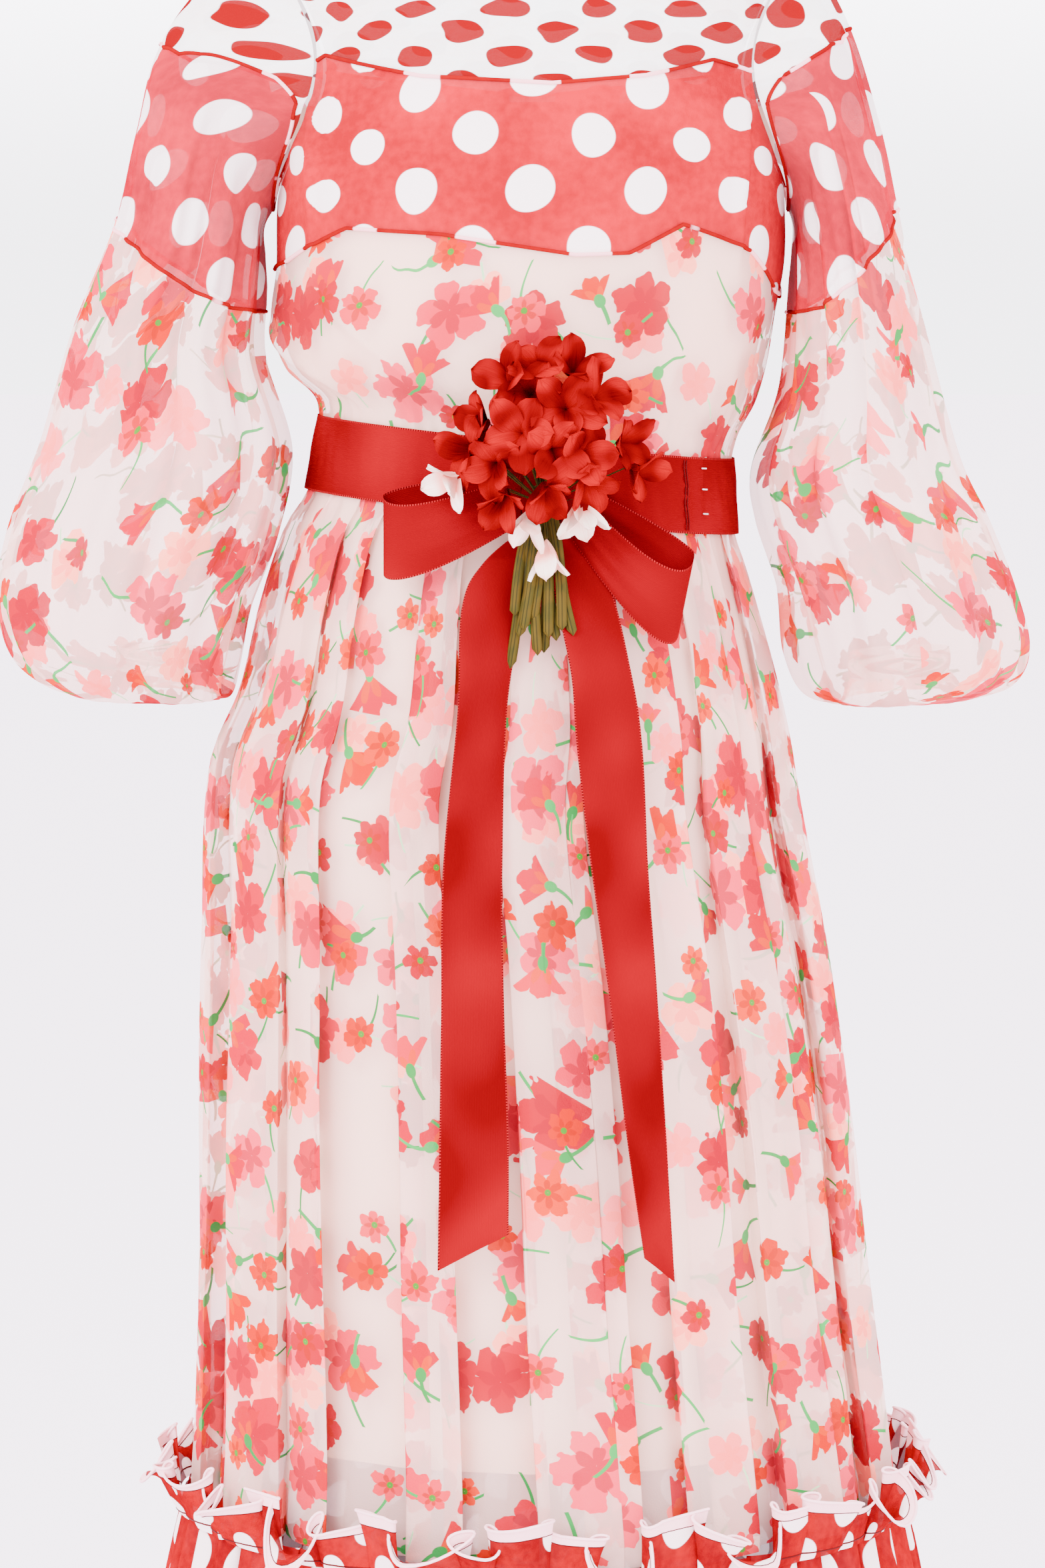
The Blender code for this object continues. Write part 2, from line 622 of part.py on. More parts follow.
def build_sleeves(materials, parts):
    band_top = lambda angle: sleeve_seam_row(SLEEVE_BAND_TOP, angle)
    band_bottom = lambda angle: sleeve_seam_row(SLEEVE_BAND_BOTTOM, angle)
    last_row = len(SLEEVE_SECTIONS["left"]) - 1
    for side in ("left", "right"):
        for tier, upper, lower, fractions, finish in (
            ("top", lambda angle: 0.0, band_top, (0.0, 0.45, 1.0), "white_dotted_chiffon"),
            ("band", band_top, band_bottom, (0.0, 0.5, 1.0), "red_dotted_chiffon"),
            ("balloon", band_bottom, lambda angle: last_row, BALLOON_FRACTIONS, "floral_chiffon"),
        ):
            rows = sleeve_rows(side, upper, lower, fractions)
            loft(f"sleeve_{tier}_{side}", rows, materials[finish], parts, closed=True)
        build_cuff(side, materials, parts)


def build_cuff(side, materials, parts):
    """The elastic band inside the balloon's turned-up end."""
    sign = -1 if side == "left" else 1
    last = SLEEVE_SECTIONS[side][-1]
    rows = []
    for rise in (GATHERED_SEAM_GAP, GATHERED_SEAM_GAP + CUFF_HEIGHT):
        row = []
        for k in range(CUFF_COLUMNS):
            angle = 2 * math.pi * k / CUFF_COLUMNS
            half = (last.outer - last.inner) / 2
            x = sign * ((last.outer + last.inner) / 2 + half * math.cos(angle))
            middle_height = (last.outer_height + last.inner_height) / 2
            tilt = (last.outer_height - last.inner_height) / 2 * math.cos(angle)
            y = last.middle - last.depth * math.sin(angle)
            row.append(Vector((x, y, middle_height + tilt + rise)))
        rows.append(row)
    loft(f"sleeve_cuff_{side}", rows, materials["floral_chiffon"], parts, closed=True)


def build_skirt(materials, parts):
    columns = fold_columns(SKIRT_FOLDS, 0.28, 0.5)
    seam = GATHERED_SEAM_GAP / SKIRT_LENGTH
    for side, middle in (("front", 0.0), ("back", math.pi)):
        rows = []
        for fraction in SKIRT_FRACTIONS:
            place = min(max(fraction, seam), 1 - seam)
            row = []
            for angle, phase, fold in columns:
                share = fold_depth_share(phase, fold)
                row.append(skirt_point(beside_seam(middle, angle), place, share))
            rows.append(row)
        loft(f"skirt_{side}", rows, materials["floral_chiffon"], parts)


def build_flounce(materials, parts):
    columns = fold_columns(FLOUNCE_WAVES, 0.22, 1.3)
    for side, middle in (("front", 0.0), ("back", math.pi)):
        rows = []
        for height in (HEADER_HEIGHT - GATHERED_SEAM_GAP, *FLOUNCE_HEIGHTS):
            row = []
            for angle, phase, fold in columns:
                share = fold_depth_share(phase, fold)
                row.append(flounce_point(beside_seam(middle, angle), height, share))
            rows.append(row)
        loft(f"flounce_{side}", rows, materials["red_dotted_chiffon"], parts)


def build_header(materials, parts):
    """The frill that stands out along the flounce seam."""
    columns = fold_columns(HEADER_WAVES, 0.25, 2.1)
    for side, middle in (("front", 0.0), ("back", math.pi)):
        rows = []
        for rise, depth in ((-HEADER_BELOW, HEADER_SEWN_WAVE_DEPTH), (HEADER_ABOVE, HEADER_WAVE_DEPTH)):
            row = []
            for angle, phase, fold in columns:
                place = beside_seam(middle, angle)
                out = HEADER_SEAT + depth * (1 - fold_depth_share(phase, fold))
                base = flounce_point(place, HEADER_HEIGHT - HEADER_BELOW, 0.0)
                point = base + Vector((math.sin(place), -math.cos(place), 0.0)) * out
                point.z = HEADER_HEIGHT + header_lift(place) + rise
                row.append(point)
            rows.append(row)
        loft(f"header_ruffle_{side}", rows, materials["red_dotted_chiffon"], parts)


def bodice_lining_point(angle, fraction):
    height = WAIST_HEIGHT + SEAM_GAP / 2 + fraction * (LINING_TOP - WAIST_HEIGHT)
    eased = min(fraction / BODICE_LINING_EASE, 1.0)
    inset = LINING_WAIST_INSET + (BODICE_LINING_INSET - LINING_WAIST_INSET) * eased
    point = oval_point(section_at(BODICE_SECTIONS, height), angle, inset, height)
    point.z += waist_tilt(point.x, height)
    return point


def skirt_lining_point(angle, fraction, drop=0.0):
    height = WAIST_HEIGHT + fraction * (LINING_HEM - WAIST_HEIGHT) - drop
    section = section_at(SKIRT_SECTIONS, height)
    eased = min(fraction / SKIRT_LINING_EASE, 1.0)
    inset = SKIRT_LINING_WAIST_INSET + SKIRT_LINING_INSET * eased
    inset += TROUGH_CLEARANCE * section.fold_depth
    point = oval_point(section, angle, inset, height)
    point.z += (1 - fraction) * WAIST_SLOPE * point.x
    point.z -= GATHERED_SEAM_GAP if fraction == 0.0 else 0.0
    return point


def build_linings(materials, parts):
    reach = math.pi / 2 - LINING_SIDE_SEAM_ANGLE
    columns = [reach * (2 * k / LINING_COLUMNS - 1) for k in range(LINING_COLUMNS + 1)]
    for side, middle in (("front", 0.0), ("back", math.pi)):
        angles = [middle + angle for angle in columns]
        rows = [[bodice_lining_point(angle, fraction) for angle in angles] for fraction in BODICE_LINING_FRACTIONS]
        loft(f"bodice_lining_{side}", rows, materials["lining_satin"], parts)
        # the skirt's lining is pieced from tiers, each sewn to the one above it
        for tier, fractions in LINING_TIERS.items():
            rows = [[skirt_lining_point(angle, fraction) for angle in angles] for fraction in fractions]
            if fractions[0] > 0.0:
                rows[0] = [skirt_lining_point(angle, fractions[0], SEAM_GAP) for angle in angles]
            loft(f"skirt_lining_{tier}_{side}", rows, materials["lining_satin"], parts)


def belt_point(angle, rise, out=0.0):
    """A point of the belt, straight between its edges, which rest on bodice and skirt."""
    upper = section_at(BODICE_SECTIONS, WAIST_HEIGHT + RIBBON_WIDTH / 2)
    lower = section_at(SKIRT_SECTIONS, WAIST_HEIGHT - RIBBON_WIDTH / 2)
    share = rise / RIBBON_WIDTH + 0.5
    top = oval_point(upper, angle, -BELT_SEAT - out, 0.0)
    bottom = oval_point(lower, angle, -BELT_SEAT - out, 0.0)
    point = bottom.lerp(top, share)
    point.z = waist_height(point.x) + rise
    return point


def build_belt(materials, parts):
    angles = [2 * math.pi * k / BELT_COLUMNS for k in range(BELT_COLUMNS)]
    rises = (-RIBBON_WIDTH / 2, RIBBON_WIDTH / 2)
    rows = [[belt_point(angle, rise) for angle in angles] for rise in rises]
    loft("belt", rows, materials["red_satin_ribbon"], parts, RIBBON_WALL, closed=True)
    ends = np.linspace(*BELT_END_ANGLES, BELT_END_COLUMNS + 1)
    rows = [[belt_point(angle, rise, BELT_END_SEAT) for angle in ends] for rise in rises]
    loft("belt_end", rows, materials["red_satin_ribbon"], parts, RIBBON_WALL)


def build_bow(materials, parts):
    satin = materials["red_satin_ribbon"]
    shape = bmesh.new()
    bmesh.ops.create_cube(shape, size=1.0)
    bmesh.ops.scale(shape, vec=KNOT_SIZE, verts=shape.verts)
    bmesh.ops.translate(shape, vec=KNOT_CENTRE, verts=shape.verts)
    mesh = bpy.data.meshes.new("bow_knot")
    shape.to_mesh(mesh)
    shape.free()
    knot = link(bpy.data.objects.new("bow_knot", mesh), satin, parts)
    bevel = knot.modifiers.new("Soft edges", "BEVEL")
    bevel.width = KNOT_BEVEL
    bevel.segments = 1
    for loop in LOOPS:
        edges = [loop_edges(loop, k / LOOP_STEPS) for k in range(LOOP_STEPS + 1)]
        loft(f"bow_loop_{loop.side}", list(zip(*edges)), satin, parts, RIBBON_WALL)
    for side in ("left", "right"):
        build_tail(side, satin, parts)


def loop_edges(loop, part):
    """Lower and upper edge of a bow loop, out along its back and home along its front."""
    along = math.sin(math.pi * part)
    bulge = LOOP_BACK_BULGE if part < 0.5 else LOOP_FRONT_BULGE
    middle = Vector(
        (
            KNOT_CENTRE.x + loop.sign * (KNOT_SIZE.x / 2 + SEAM_GAP + loop.reach * along),
            KNOT_CENTRE.y + LOOP_ROOT_GAP * math.cos(math.pi * part) + bulge * math.sin(2 * math.pi * part),
            KNOT_CENTRE.z - loop.drop * along,
        )
    )
    half = LOOP_ROOT_HALF_WIDTH + (RIBBON_WIDTH / 2 - LOOP_ROOT_HALF_WIDTH) * along**0.7
    upright = Vector((loop.lean * along, 0.0, 1.0)).normalized()
    return middle - upright * half, middle + upright * half


def tail_point(side, fraction, across):
    """A point of a ribbon tail that hangs down the skirt's front."""
    rows = TAILS[side]
    values = smooth_through(range(len(rows)), rows, fraction * (len(rows) - 1))
    tail = TailSection(*values)
    turn = math.radians(tail.turn)
    slant = TAIL_END_SLANT * max(fraction - TAIL_SLANT_FROM, 0.0) / (1 - TAIL_SLANT_FROM)
    height = tail.height - slant * (0.5 - across if side == "left" else across - 0.2)
    shift = (across - 0.5) * tail.width
    x = tail.middle + shift * math.cos(turn)
    section = section_at(SKIRT_SECTIONS, min(height, WAIST_HEIGHT - RIBBON_WIDTH / 2))
    reach = (tail.middle - section.centre) / section.half_width
    rest = -section.front * math.sqrt(1 - reach**2) - TAIL_SEAT - tail.width / 2 * math.sin(turn)
    loose = min(fraction / TAIL_LOOSE_SHARE, 1.0)
    y = TAIL_ROOT_DEPTH + (min(rest, TAIL_ROOT_DEPTH) - TAIL_ROOT_DEPTH) * loose
    return Vector((x, y + shift * math.sin(turn), height))


def build_tail(side, satin, parts):
    rows = []
    for k in range(TAIL_STEPS + 1):
        rows.append([tail_point(side, k / TAIL_STEPS, across) for across in (0.0, 0.5, 1.0)])
    loft(f"bow_tail_{side}", rows, satin, parts, RIBBON_WALL)


def build_blossom(blossom, material, parts):
    """Cupped petals round the end of a stem, which points away from the tie."""
    base = Vector((blossom.x, blossom.y, blossom.z))
    facing = (base - TIE_CENTRE).normalized()
    turn = facing.to_track_quat("Z", "Y").to_matrix()
    radius = blossom.across / 2
    length = PETAL_LENGTH_SHARE * blossom.across
    shape = bmesh.new()
    seat = SEAM_GAP + PETAL_WALL / 2
    centre = shape.verts.new(base + facing * seat)
    inner, outer = [], []
    for petal in range(PETALS):
        for outline in PETAL_OUTLINE:
            angle = 2 * math.pi * (petal + outline.part) / PETALS
            spoke = Vector((math.cos(angle), math.sin(angle), 0.0)) * radius
            low = spoke * PETAL_THROAT_REACH + Vector((0, 0, length * PETAL_THROAT_RISE + seat))
            high = spoke * outline.reach + Vector((0, 0, length * outline.rise + seat))
            inner.append(shape.verts.new(base + turn @ low))
            outer.append(shape.verts.new(base + turn @ high))
    count = len(inner)
    for i in range(count):
        j = (i + 1) % count
        shape.faces.new((centre, inner[i], inner[j]))
        shape.faces.new((inner[i], outer[i], outer[j], inner[j]))
    mesh = bpy.data.meshes.new(blossom.name)
    shape.to_mesh(mesh)
    shape.free()
    mesh.shade_smooth()
    obj = link(bpy.data.objects.new(blossom.name, mesh), material, parts)
    solidify = obj.modifiers.new("Wall", "SOLIDIFY")
    solidify.thickness = PETAL_WALL
    solidify.offset = 0.0


def stem_between(start, end, radius, sides, name, helpers):
    shape = bmesh.new()
    length = (end - start).length
    turn = (end - start).to_track_quat("Z", "Y").to_matrix().to_4x4()
    matrix = Matrix.Translation((start + end) / 2) @ turn
    bmesh.ops.create_cone(
        shape, cap_ends=True, segments=sides, radius1=radius, radius2=radius, depth=length, matrix=matrix
    )
    mesh = bpy.data.meshes.new(name)
    shape.to_mesh(mesh)
    shape.free()
    obj = bpy.data.objects.new(name, mesh)
    obj.hide_render = True
    obj.display_type = "WIRE"
    helpers.objects.link(obj)


def build_stems(materials, parts, helpers):
    """The tied bundle: paper stems below, a thin stem to each blossom above."""
    shape = bmesh.new()
    bmesh.ops.create_cone(
        shape,
        cap_ends=True,
        segments=10,
        radius1=TIE_RADIUS,
        radius2=TIE_RADIUS,
        depth=TIE_LENGTH,
        matrix=Matrix.Translation(TIE_CENTRE),
    )
    mesh = bpy.data.meshes.new("stem_bundle")
    shape.to_mesh(mesh)
    shape.free()
    bundle = link(bpy.data.objects.new("stem_bundle", mesh), materials["green_stem_paper"], parts)
    for k, end in enumerate(STEM_ENDS):
        spread = (k - (len(STEM_ENDS) - 1) / 2) * STEM_SPACING
        start = TIE_CENTRE + Vector((spread, 0.0, STEM_START))
        stem_between(start, Vector(end), STEM_RADIUS, 6, f"stem_{k + 1}", helpers)
    for blossom in RED_BLOSSOMS + PALE_BLOSSOMS:
        end = Vector((blossom.x, blossom.y, blossom.z))
        stem_between(TIE_CENTRE, end, TOP_STEM_RADIUS, 4, f"stem_of_{blossom.name}", helpers)
    union = bundle.modifiers.new("Fused stems", "BOOLEAN")
    union.operation = "UNION"
    union.operand_type = "COLLECTION"
    union.collection = helpers
    union.solver = "EXACT"


def main():
    for obj in list(bpy.data.objects):
        bpy.data.objects.remove(obj, do_unlink=True)
    parts = bpy.data.collections.new("maxi_dress")
    helpers = bpy.data.collections.new("stem_helpers")
    helpers.hide_render = True
    for collection in (parts, helpers):
        bpy.context.scene.collection.children.link(collection)
    materials = {name: make_material(name) for name in MATERIALS}
    build_bodice(materials, parts)
    build_sleeves(materials, parts)
    build_skirt(materials, parts)
    build_flounce(materials, parts)
    build_header(materials, parts)
    build_linings(materials, parts)
    build_belt(materials, parts)
    build_bow(materials, parts)
    for blossom in RED_BLOSSOMS:
        build_blossom(blossom, materials["red_petal_cloth"], parts)
    for blossom in PALE_BLOSSOMS:
        build_blossom(blossom, materials["pale_petal_cloth"], parts)
    build_stems(materials, parts, helpers)


main()
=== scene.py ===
# Printed chiffon maxi dress with ribbon belt, bow and corsage. Metres, +Z up, front towards -Y.
# Angles go round the body from the front middle: 0 is the front, +90 degrees the +X side, 180 the back.
import math

import bpy
import numpy as np
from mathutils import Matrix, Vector


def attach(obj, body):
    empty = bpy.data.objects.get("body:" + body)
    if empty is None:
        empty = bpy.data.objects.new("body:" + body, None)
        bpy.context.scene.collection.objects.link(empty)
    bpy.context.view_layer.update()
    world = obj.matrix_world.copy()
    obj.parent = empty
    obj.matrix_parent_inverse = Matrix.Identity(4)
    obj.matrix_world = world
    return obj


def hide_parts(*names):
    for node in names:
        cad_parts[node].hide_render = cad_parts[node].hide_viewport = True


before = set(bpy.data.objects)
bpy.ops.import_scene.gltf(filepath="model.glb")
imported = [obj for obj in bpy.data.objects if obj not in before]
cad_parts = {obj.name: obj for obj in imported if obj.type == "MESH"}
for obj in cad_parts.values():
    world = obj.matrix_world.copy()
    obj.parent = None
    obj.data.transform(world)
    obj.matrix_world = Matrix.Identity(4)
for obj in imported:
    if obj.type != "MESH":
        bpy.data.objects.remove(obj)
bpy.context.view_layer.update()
print("frame loaded,", len(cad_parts), "nodes")


def hexColour(text):
    # sRGB hex to the linear values that a shader takes
    channels = [int(text[i:i + 2], 16) / 255 for i in (0, 2, 4)]
    return [c / 12.92 if c <= 0.04045 else ((c + 0.055) / 1.055) ** 2.4 for c in channels] + [1.0]


# settings that many nodes share
colourMix = {"data_type": "RGBA"}
flatNoise = {"noise_dimensions": "2D"}


def addNode(tree, kind, settings=None, links=None):
    # one shader node: settings are its properties, links its inputs, each a number, a hex colour or an output
    node = tree.nodes.new("ShaderNode" + kind)
    for name, value in (settings or {}).items():
        setattr(node, name, value)
    for name, value in (links or {}).items():
        if isinstance(value, bpy.types.NodeSocket):
            tree.links.new(value, node.inputs[name])
        else:
            node.inputs[name].default_value = hexColour(value) if isinstance(value, str) else value
    return node


def runSteps(tree, known, steps):
    # a table of sums on shader values: name, operation, and inputs that are numbers or earlier names
    for name, operation, *inputs in steps:
        sockets = {i: known.get(value, value) for i, value in enumerate(inputs)}
        settings = {"operation": operation, "use_clamp": name.endswith("Mask")}
        known[name] = addNode(tree, "Math", settings, sockets).outputs[0]
    return known


def newGroup(name, outputs):
    tree = bpy.data.node_groups.new(name, "ShaderNodeTree")
    tree.interface.new_socket("Place", in_out="INPUT", socket_type="NodeSocketVector")
    for output in outputs:
        tree.interface.new_socket(output, in_out="OUTPUT", socket_type="NodeSocketFloat")
    return tree, tree.nodes.new("NodeGroupInput").outputs[0], tree.nodes.new("NodeGroupOutput")


def spotGroup(name, look):
    # round spots in staggered rows, a real 26 mm across, a little out of true as printed chiffon is
    tree, place, result = newGroup(name, ["Spot"])
    drift = addNode(tree, "TexNoise", flatNoise, {"Vector": place, "Scale": look["driftScale"], "Detail": 0.0})
    centred = addNode(tree, "VectorMath", {"operation": "SUBTRACT"}, {0: drift.outputs["Color"], 1: (0.5, 0.5, 0.5)})
    pushed = addNode(tree, "VectorMath", {"operation": "SCALE"}, {0: centred.outputs[0], "Scale": look["drift"]})
    moved = addNode(tree, "VectorMath", {"operation": "ADD"}, {0: place, 1: pushed.outputs[0]})
    parts = addNode(tree, "SeparateXYZ", {}, {0: moved.outputs[0]})
    known = runSteps(tree, {"u": parts.outputs[0], "v": parts.outputs[1]}, (
        ("rows", "MULTIPLY_ADD", "v", 1 / look["rowPitch"], look["start"][1]),
        ("row", "FLOOR", "rows"),
        ("up", "SUBTRACT", "rows", "row"),
        ("odd", "FLOORED_MODULO", "row", 2.0),
        ("shift", "MULTIPLY_ADD", "odd", 0.5, look["start"][0]),
        ("columns", "MULTIPLY_ADD", "u", 1 / look["columnPitch"], "shift"),
        ("column", "FLOOR", "columns"),
        ("along", "SUBTRACT", "columns", "column"),
        ("dx", "MULTIPLY_ADD", "along", look["columnPitch"], -look["columnPitch"] / 2),
        ("dy", "MULTIPLY_ADD", "up", look["rowPitch"], -look["rowPitch"] / 2),
        ("xx", "MULTIPLY", "dx", "dx"),
        ("rr", "MULTIPLY_ADD", "dy", "dy", "xx"),
        ("r", "SQRT", "rr"),
        ("inside", "SUBTRACT", look["diameter"] / 2, "r"),
        ("spotMask", "MULTIPLY_ADD", "inside", 1 / look["softness"], 0.5),
    ))
    tree.links.new(known["spotMask"], result.inputs["Spot"])
    return tree


def motifGroup(name, look):
    # one layer of printed motifs, a blossom to a cell: round ones seen from the front, or bells seen from the side
    tree, place, result = newGroup(name, ["Petals", "Inner", "Centre", "Green", "Pick"])
    cell = look["cell"]
    offset = (*look["start"], 0.0)
    scaled = addNode(tree, "VectorMath", {"operation": "MULTIPLY_ADD"}, {0: place, 1: (1 / cell,) * 3, 2: offset})
    cells = addNode(tree, "TexVoronoi", {"voronoi_dimensions": "2D"},
                    {"Vector": scaled.outputs[0], "Scale": 1.0, "Randomness": look["scatter"]})
    away = addNode(tree, "VectorMath", {"operation": "SUBTRACT"}, {0: scaled.outputs[0], 1: cells.outputs["Position"]})
    near = addNode(tree, "VectorMath", {"operation": "SCALE"}, {0: away.outputs[0], "Scale": cell})
    picks = addNode(tree, "SeparateColor", {}, {0: cells.outputs["Color"]})
    turn = addNode(tree, "Math", {"operation": "MULTIPLY"}, {0: picks.outputs[0], 1: math.tau})
    turned = addNode(tree, "VectorRotate", {"rotation_type": "Z_AXIS"},
                     {"Vector": near.outputs[0], "Angle": turn.outputs[0]})
    parts = addNode(tree, "SeparateXYZ", {}, {0: turned.outputs[0]})
    ragged = addNode(tree, "TexNoise", flatNoise, {"Vector": place, "Scale": look["raggedScale"], "Detail": 1.0})
    crowd = addNode(tree, "TexNoise", flatNoise,
                    {"Vector": cells.outputs["Position"], "Scale": look["crowdScale"], "Detail": 0.0})
    known = {"x": parts.outputs[0], "y": parts.outputs[1], "turnPick": picks.outputs[0], "sizePick": picks.outputs[1],
             "pick": picks.outputs[2], "noise": ragged.outputs[0], "crowd": crowd.outputs[0]}
    known = runSteps(tree, known, (
        ("xx", "MULTIPLY", "x", "x"),
        ("rr", "MULTIPLY_ADD", "y", "y", "xx"),
        ("r", "SQRT", "rr"),
        ("theta", "ARCTAN2", "y", "x"),
        ("size", "MULTIPLY_ADD", "sizePick", look["reach"] * 0.45, look["reach"] * 0.72),
        ("half", "MULTIPLY", "theta", look["petals"] / 2),
        ("lobe", "COSINE", "half"),
        ("lobeSize", "ABSOLUTE", "lobe"),
        ("lobed", "POWER", "lobeSize", look["roundness"]),
        ("wavy", "MULTIPLY_ADD", "lobed", 1 - look["waist"], look["waist"]),
        ("lean", "MULTIPLY_ADD", "pick", math.tau, "theta"),
        ("leaning", "COSINE", "lean"),
        ("uneven", "MULTIPLY_ADD", "leaning", 0.16, 1.0),
        ("rag", "MULTIPLY_ADD", "noise", look["ragged"], 1 - look["ragged"] / 2),
        ("sized", "MULTIPLY", "size", "uneven"),
        ("ragSize", "MULTIPLY", "sized", "rag"),
        ("outline", "MULTIPLY", "ragSize", "wavy"),
        ("edge", "SUBTRACT", "outline", "r"),
        ("side", "ABSOLUTE", "theta"),
        ("fan", "SUBTRACT", look["fan"], "side"),
        ("fanEdge", "MULTIPLY", "fan", "r"),
        ("inside", "MINIMUM", "edge", "fanEdge"),
        ("petalMask", "MULTIPLY", "inside", 1 / 0.0004),
        ("innerHalf", "MULTIPLY_ADD", "theta", look["petals"] / 2, math.pi / 2),
        ("innerLobe", "COSINE", "innerHalf"),
        ("innerLobeSize", "ABSOLUTE", "innerLobe"),
        ("innerWavy", "MULTIPLY_ADD", "innerLobeSize", 0.42, 0.22),
        ("innerOutline", "MULTIPLY", "ragSize", "innerWavy"),
        ("innerEdge", "SUBTRACT", "innerOutline", "r"),
        ("innerInside", "MINIMUM", "innerEdge", "fanEdge"),
        ("innerMask", "MULTIPLY", "innerInside", 1 / 0.0009),
        ("centreEdge", "SUBTRACT", look["centre"], "r"),
        ("centreMask", "MULTIPLY", "centreEdge", 1 / 0.0005),
        ("bend", "MULTIPLY_ADD", "pick", 2 * look["stemBend"], -look["stemBend"]),
        ("stemLine", "MULTIPLY", "bend", "xx"),
        ("offLine", "SUBTRACT", "y", "stemLine"),
        ("offSide", "ABSOLUTE", "offLine"),
        ("stemWidth", "SUBTRACT", look["stemWidth"] / 2, "offSide"),
        ("stemReach", "MULTIPLY_ADD", "size", look["stemLength"], "x"),
        ("stemStart", "MULTIPLY", "x", -1.0),
        ("stemEnds", "MINIMUM", "stemReach", "stemStart"),
        ("stem", "MINIMUM", "stemWidth", "stemEnds"),
        ("calyxX", "MULTIPLY_ADD", "x", 0.62, -0.0008),
        ("calyxXx", "MULTIPLY", "calyxX", "calyxX"),
        ("calyxY", "MULTIPLY", "y", 0.85),
        ("calyxRr", "MULTIPLY_ADD", "calyxY", "calyxY", "calyxXx"),
        ("calyxR", "SQRT", "calyxRr"),
        ("calyx", "SUBTRACT", look["calyx"], "calyxR"),
        ("green", "MAXIMUM", "stem", "calyx"),
        ("greenMask", "MULTIPLY", "green", 1 / 0.0004),
        ("lottery", "MULTIPLY_ADD", "turnPick", 7.31, "sizePick"),
        ("drawn", "FRACT", "lottery"),
        ("thin", "MULTIPLY_ADD", "crowd", -look["clumping"], look["clumping"] / 2),
        ("share", "ADD", "drawn", "thin"),
        ("kept", "LESS_THAN", "share", look["keep"]),
    ))
    masks = {"Petals": "petalMask", "Inner": "innerMask", "Centre": "centreMask", "Green": "greenMask"}
    for output, source in masks.items():
        shown = addNode(tree, "Math", {"operation": "MULTIPLY"}, {0: known[source], 1: known["kept"]})
        tree.links.new(shown.outputs[0], result.inputs[output])
    tree.links.new(known["pick"], result.inputs["Pick"])
    return tree


def newMaterial(name, roughness, **settings):
    # a Principled surface; sheen and the like are the same all over, so they are set on its own sockets
    material = bpy.data.materials.new(name)
    material.use_nodes = True
    shader = material.node_tree.nodes["Principled BSDF"]
    shader.inputs["Roughness"].default_value = roughness
    for socket, value in settings.items():
        shader.inputs[socket.replace("_", " ")].default_value = value
    return material, material.node_tree, shader


def clothPlace(tree):
    return addNode(tree, "UVMap", {"uv_map": "cloth"}).outputs[0]


def addCrepe(tree, shader, place, look):
    # crepe-twisted threads: real ones are 0.3 mm apart, drawn coarser so that the render shows their grain
    grain = addNode(tree, "TexNoise", flatNoise, {"Vector": place, "Scale": look["scale"], "Detail": 2.0})
    relief = {"Height": grain.outputs[0], "Strength": look["strength"], "Distance": look["depth"]}
    bump = addNode(tree, "Bump", {}, relief)
    tree.links.new(bump.outputs[0], shader.inputs["Normal"])


spots = {"columnPitch": 0.066, "rowPitch": 0.0325, "diameter": 0.0262, "softness": 0.0007,
         "start": (0.0, 0.5), "drift": 0.006, "driftScale": 22.0}
crepe = {"scale": 900.0, "strength": 0.35, "depth": 0.0006}

bandSpots = spotGroup("bandSpots", spots)
# the yoke's are drawn closer together by its gathers
gatheredSpots = {"columnPitch": 0.058, "diameter": 0.0275, "start": (0.1, 0.5), "drift": 0.012, "driftScale": 40.0}
yokeSpots = spotGroup("yokeSpots", {**spots, **gatheredSpots})


def spottedChiffon(name, group, grounds, spot, alphas, border):
    # screen-printed silk chiffon: matt and sheer, so its colour deepens where folds lie over each other
    material, tree, shader = newMaterial(name, 0.75, Specular_IOR_Level=0.0)
    place = clothPlace(tree)
    mask = addNode(tree, "Group", {"node_tree": group}, {0: place}).outputs[0]
    mottle = addNode(tree, "TexNoise", flatNoise, {"Vector": place, "Scale": 160.0, "Detail": 3.0})
    slow = addNode(tree, "TexNoise", flatNoise, {"Vector": place, "Scale": 14.0, "Detail": 1.0})
    both = addNode(tree, "Math", {"operation": "MULTIPLY_ADD"}, {0: slow.outputs[0], 1: 1.6, 2: mottle.outputs[0]})
    depth = addNode(tree, "MapRange", {}, {0: both.outputs[0], 1: 0.9, 2: 1.7})
    groundTone = addNode(tree, "Mix", colourMix, {0: depth.outputs[0], 6: grounds[0], 7: grounds[1]})
    colour = addNode(tree, "Mix", colourMix, {0: mask, 6: groundTone.outputs[2], 7: spot}).outputs[2]
    opacity = addNode(tree, "MapRange", {}, {0: mask, 3: alphas[0], 4: alphas[1]}).outputs[0]
    if border:
        # a bound edge of the white cloth along the top of the strip
        rise = addNode(tree, "SeparateXYZ", {}, {0: place}).outputs[1]
        bound = addNode(tree, "Math", {"operation": "GREATER_THAN"}, {0: rise, 1: border["height"]}).outputs[0]
        colour = addNode(tree, "Mix", colourMix, {0: bound, 6: colour, 7: border["colour"]}).outputs[2]
        opacity = addNode(tree, "Math", {"operation": "MAXIMUM"}, {0: opacity, 1: bound}).outputs[0]
    tree.links.new(colour, shader.inputs["Base Color"])
    tree.links.new(opacity, shader.inputs["Alpha"])
    addCrepe(tree, shader, place, crepe)
    return material


boundRuffle = {"height": 0.0298, "colour": "FFC4CC"}
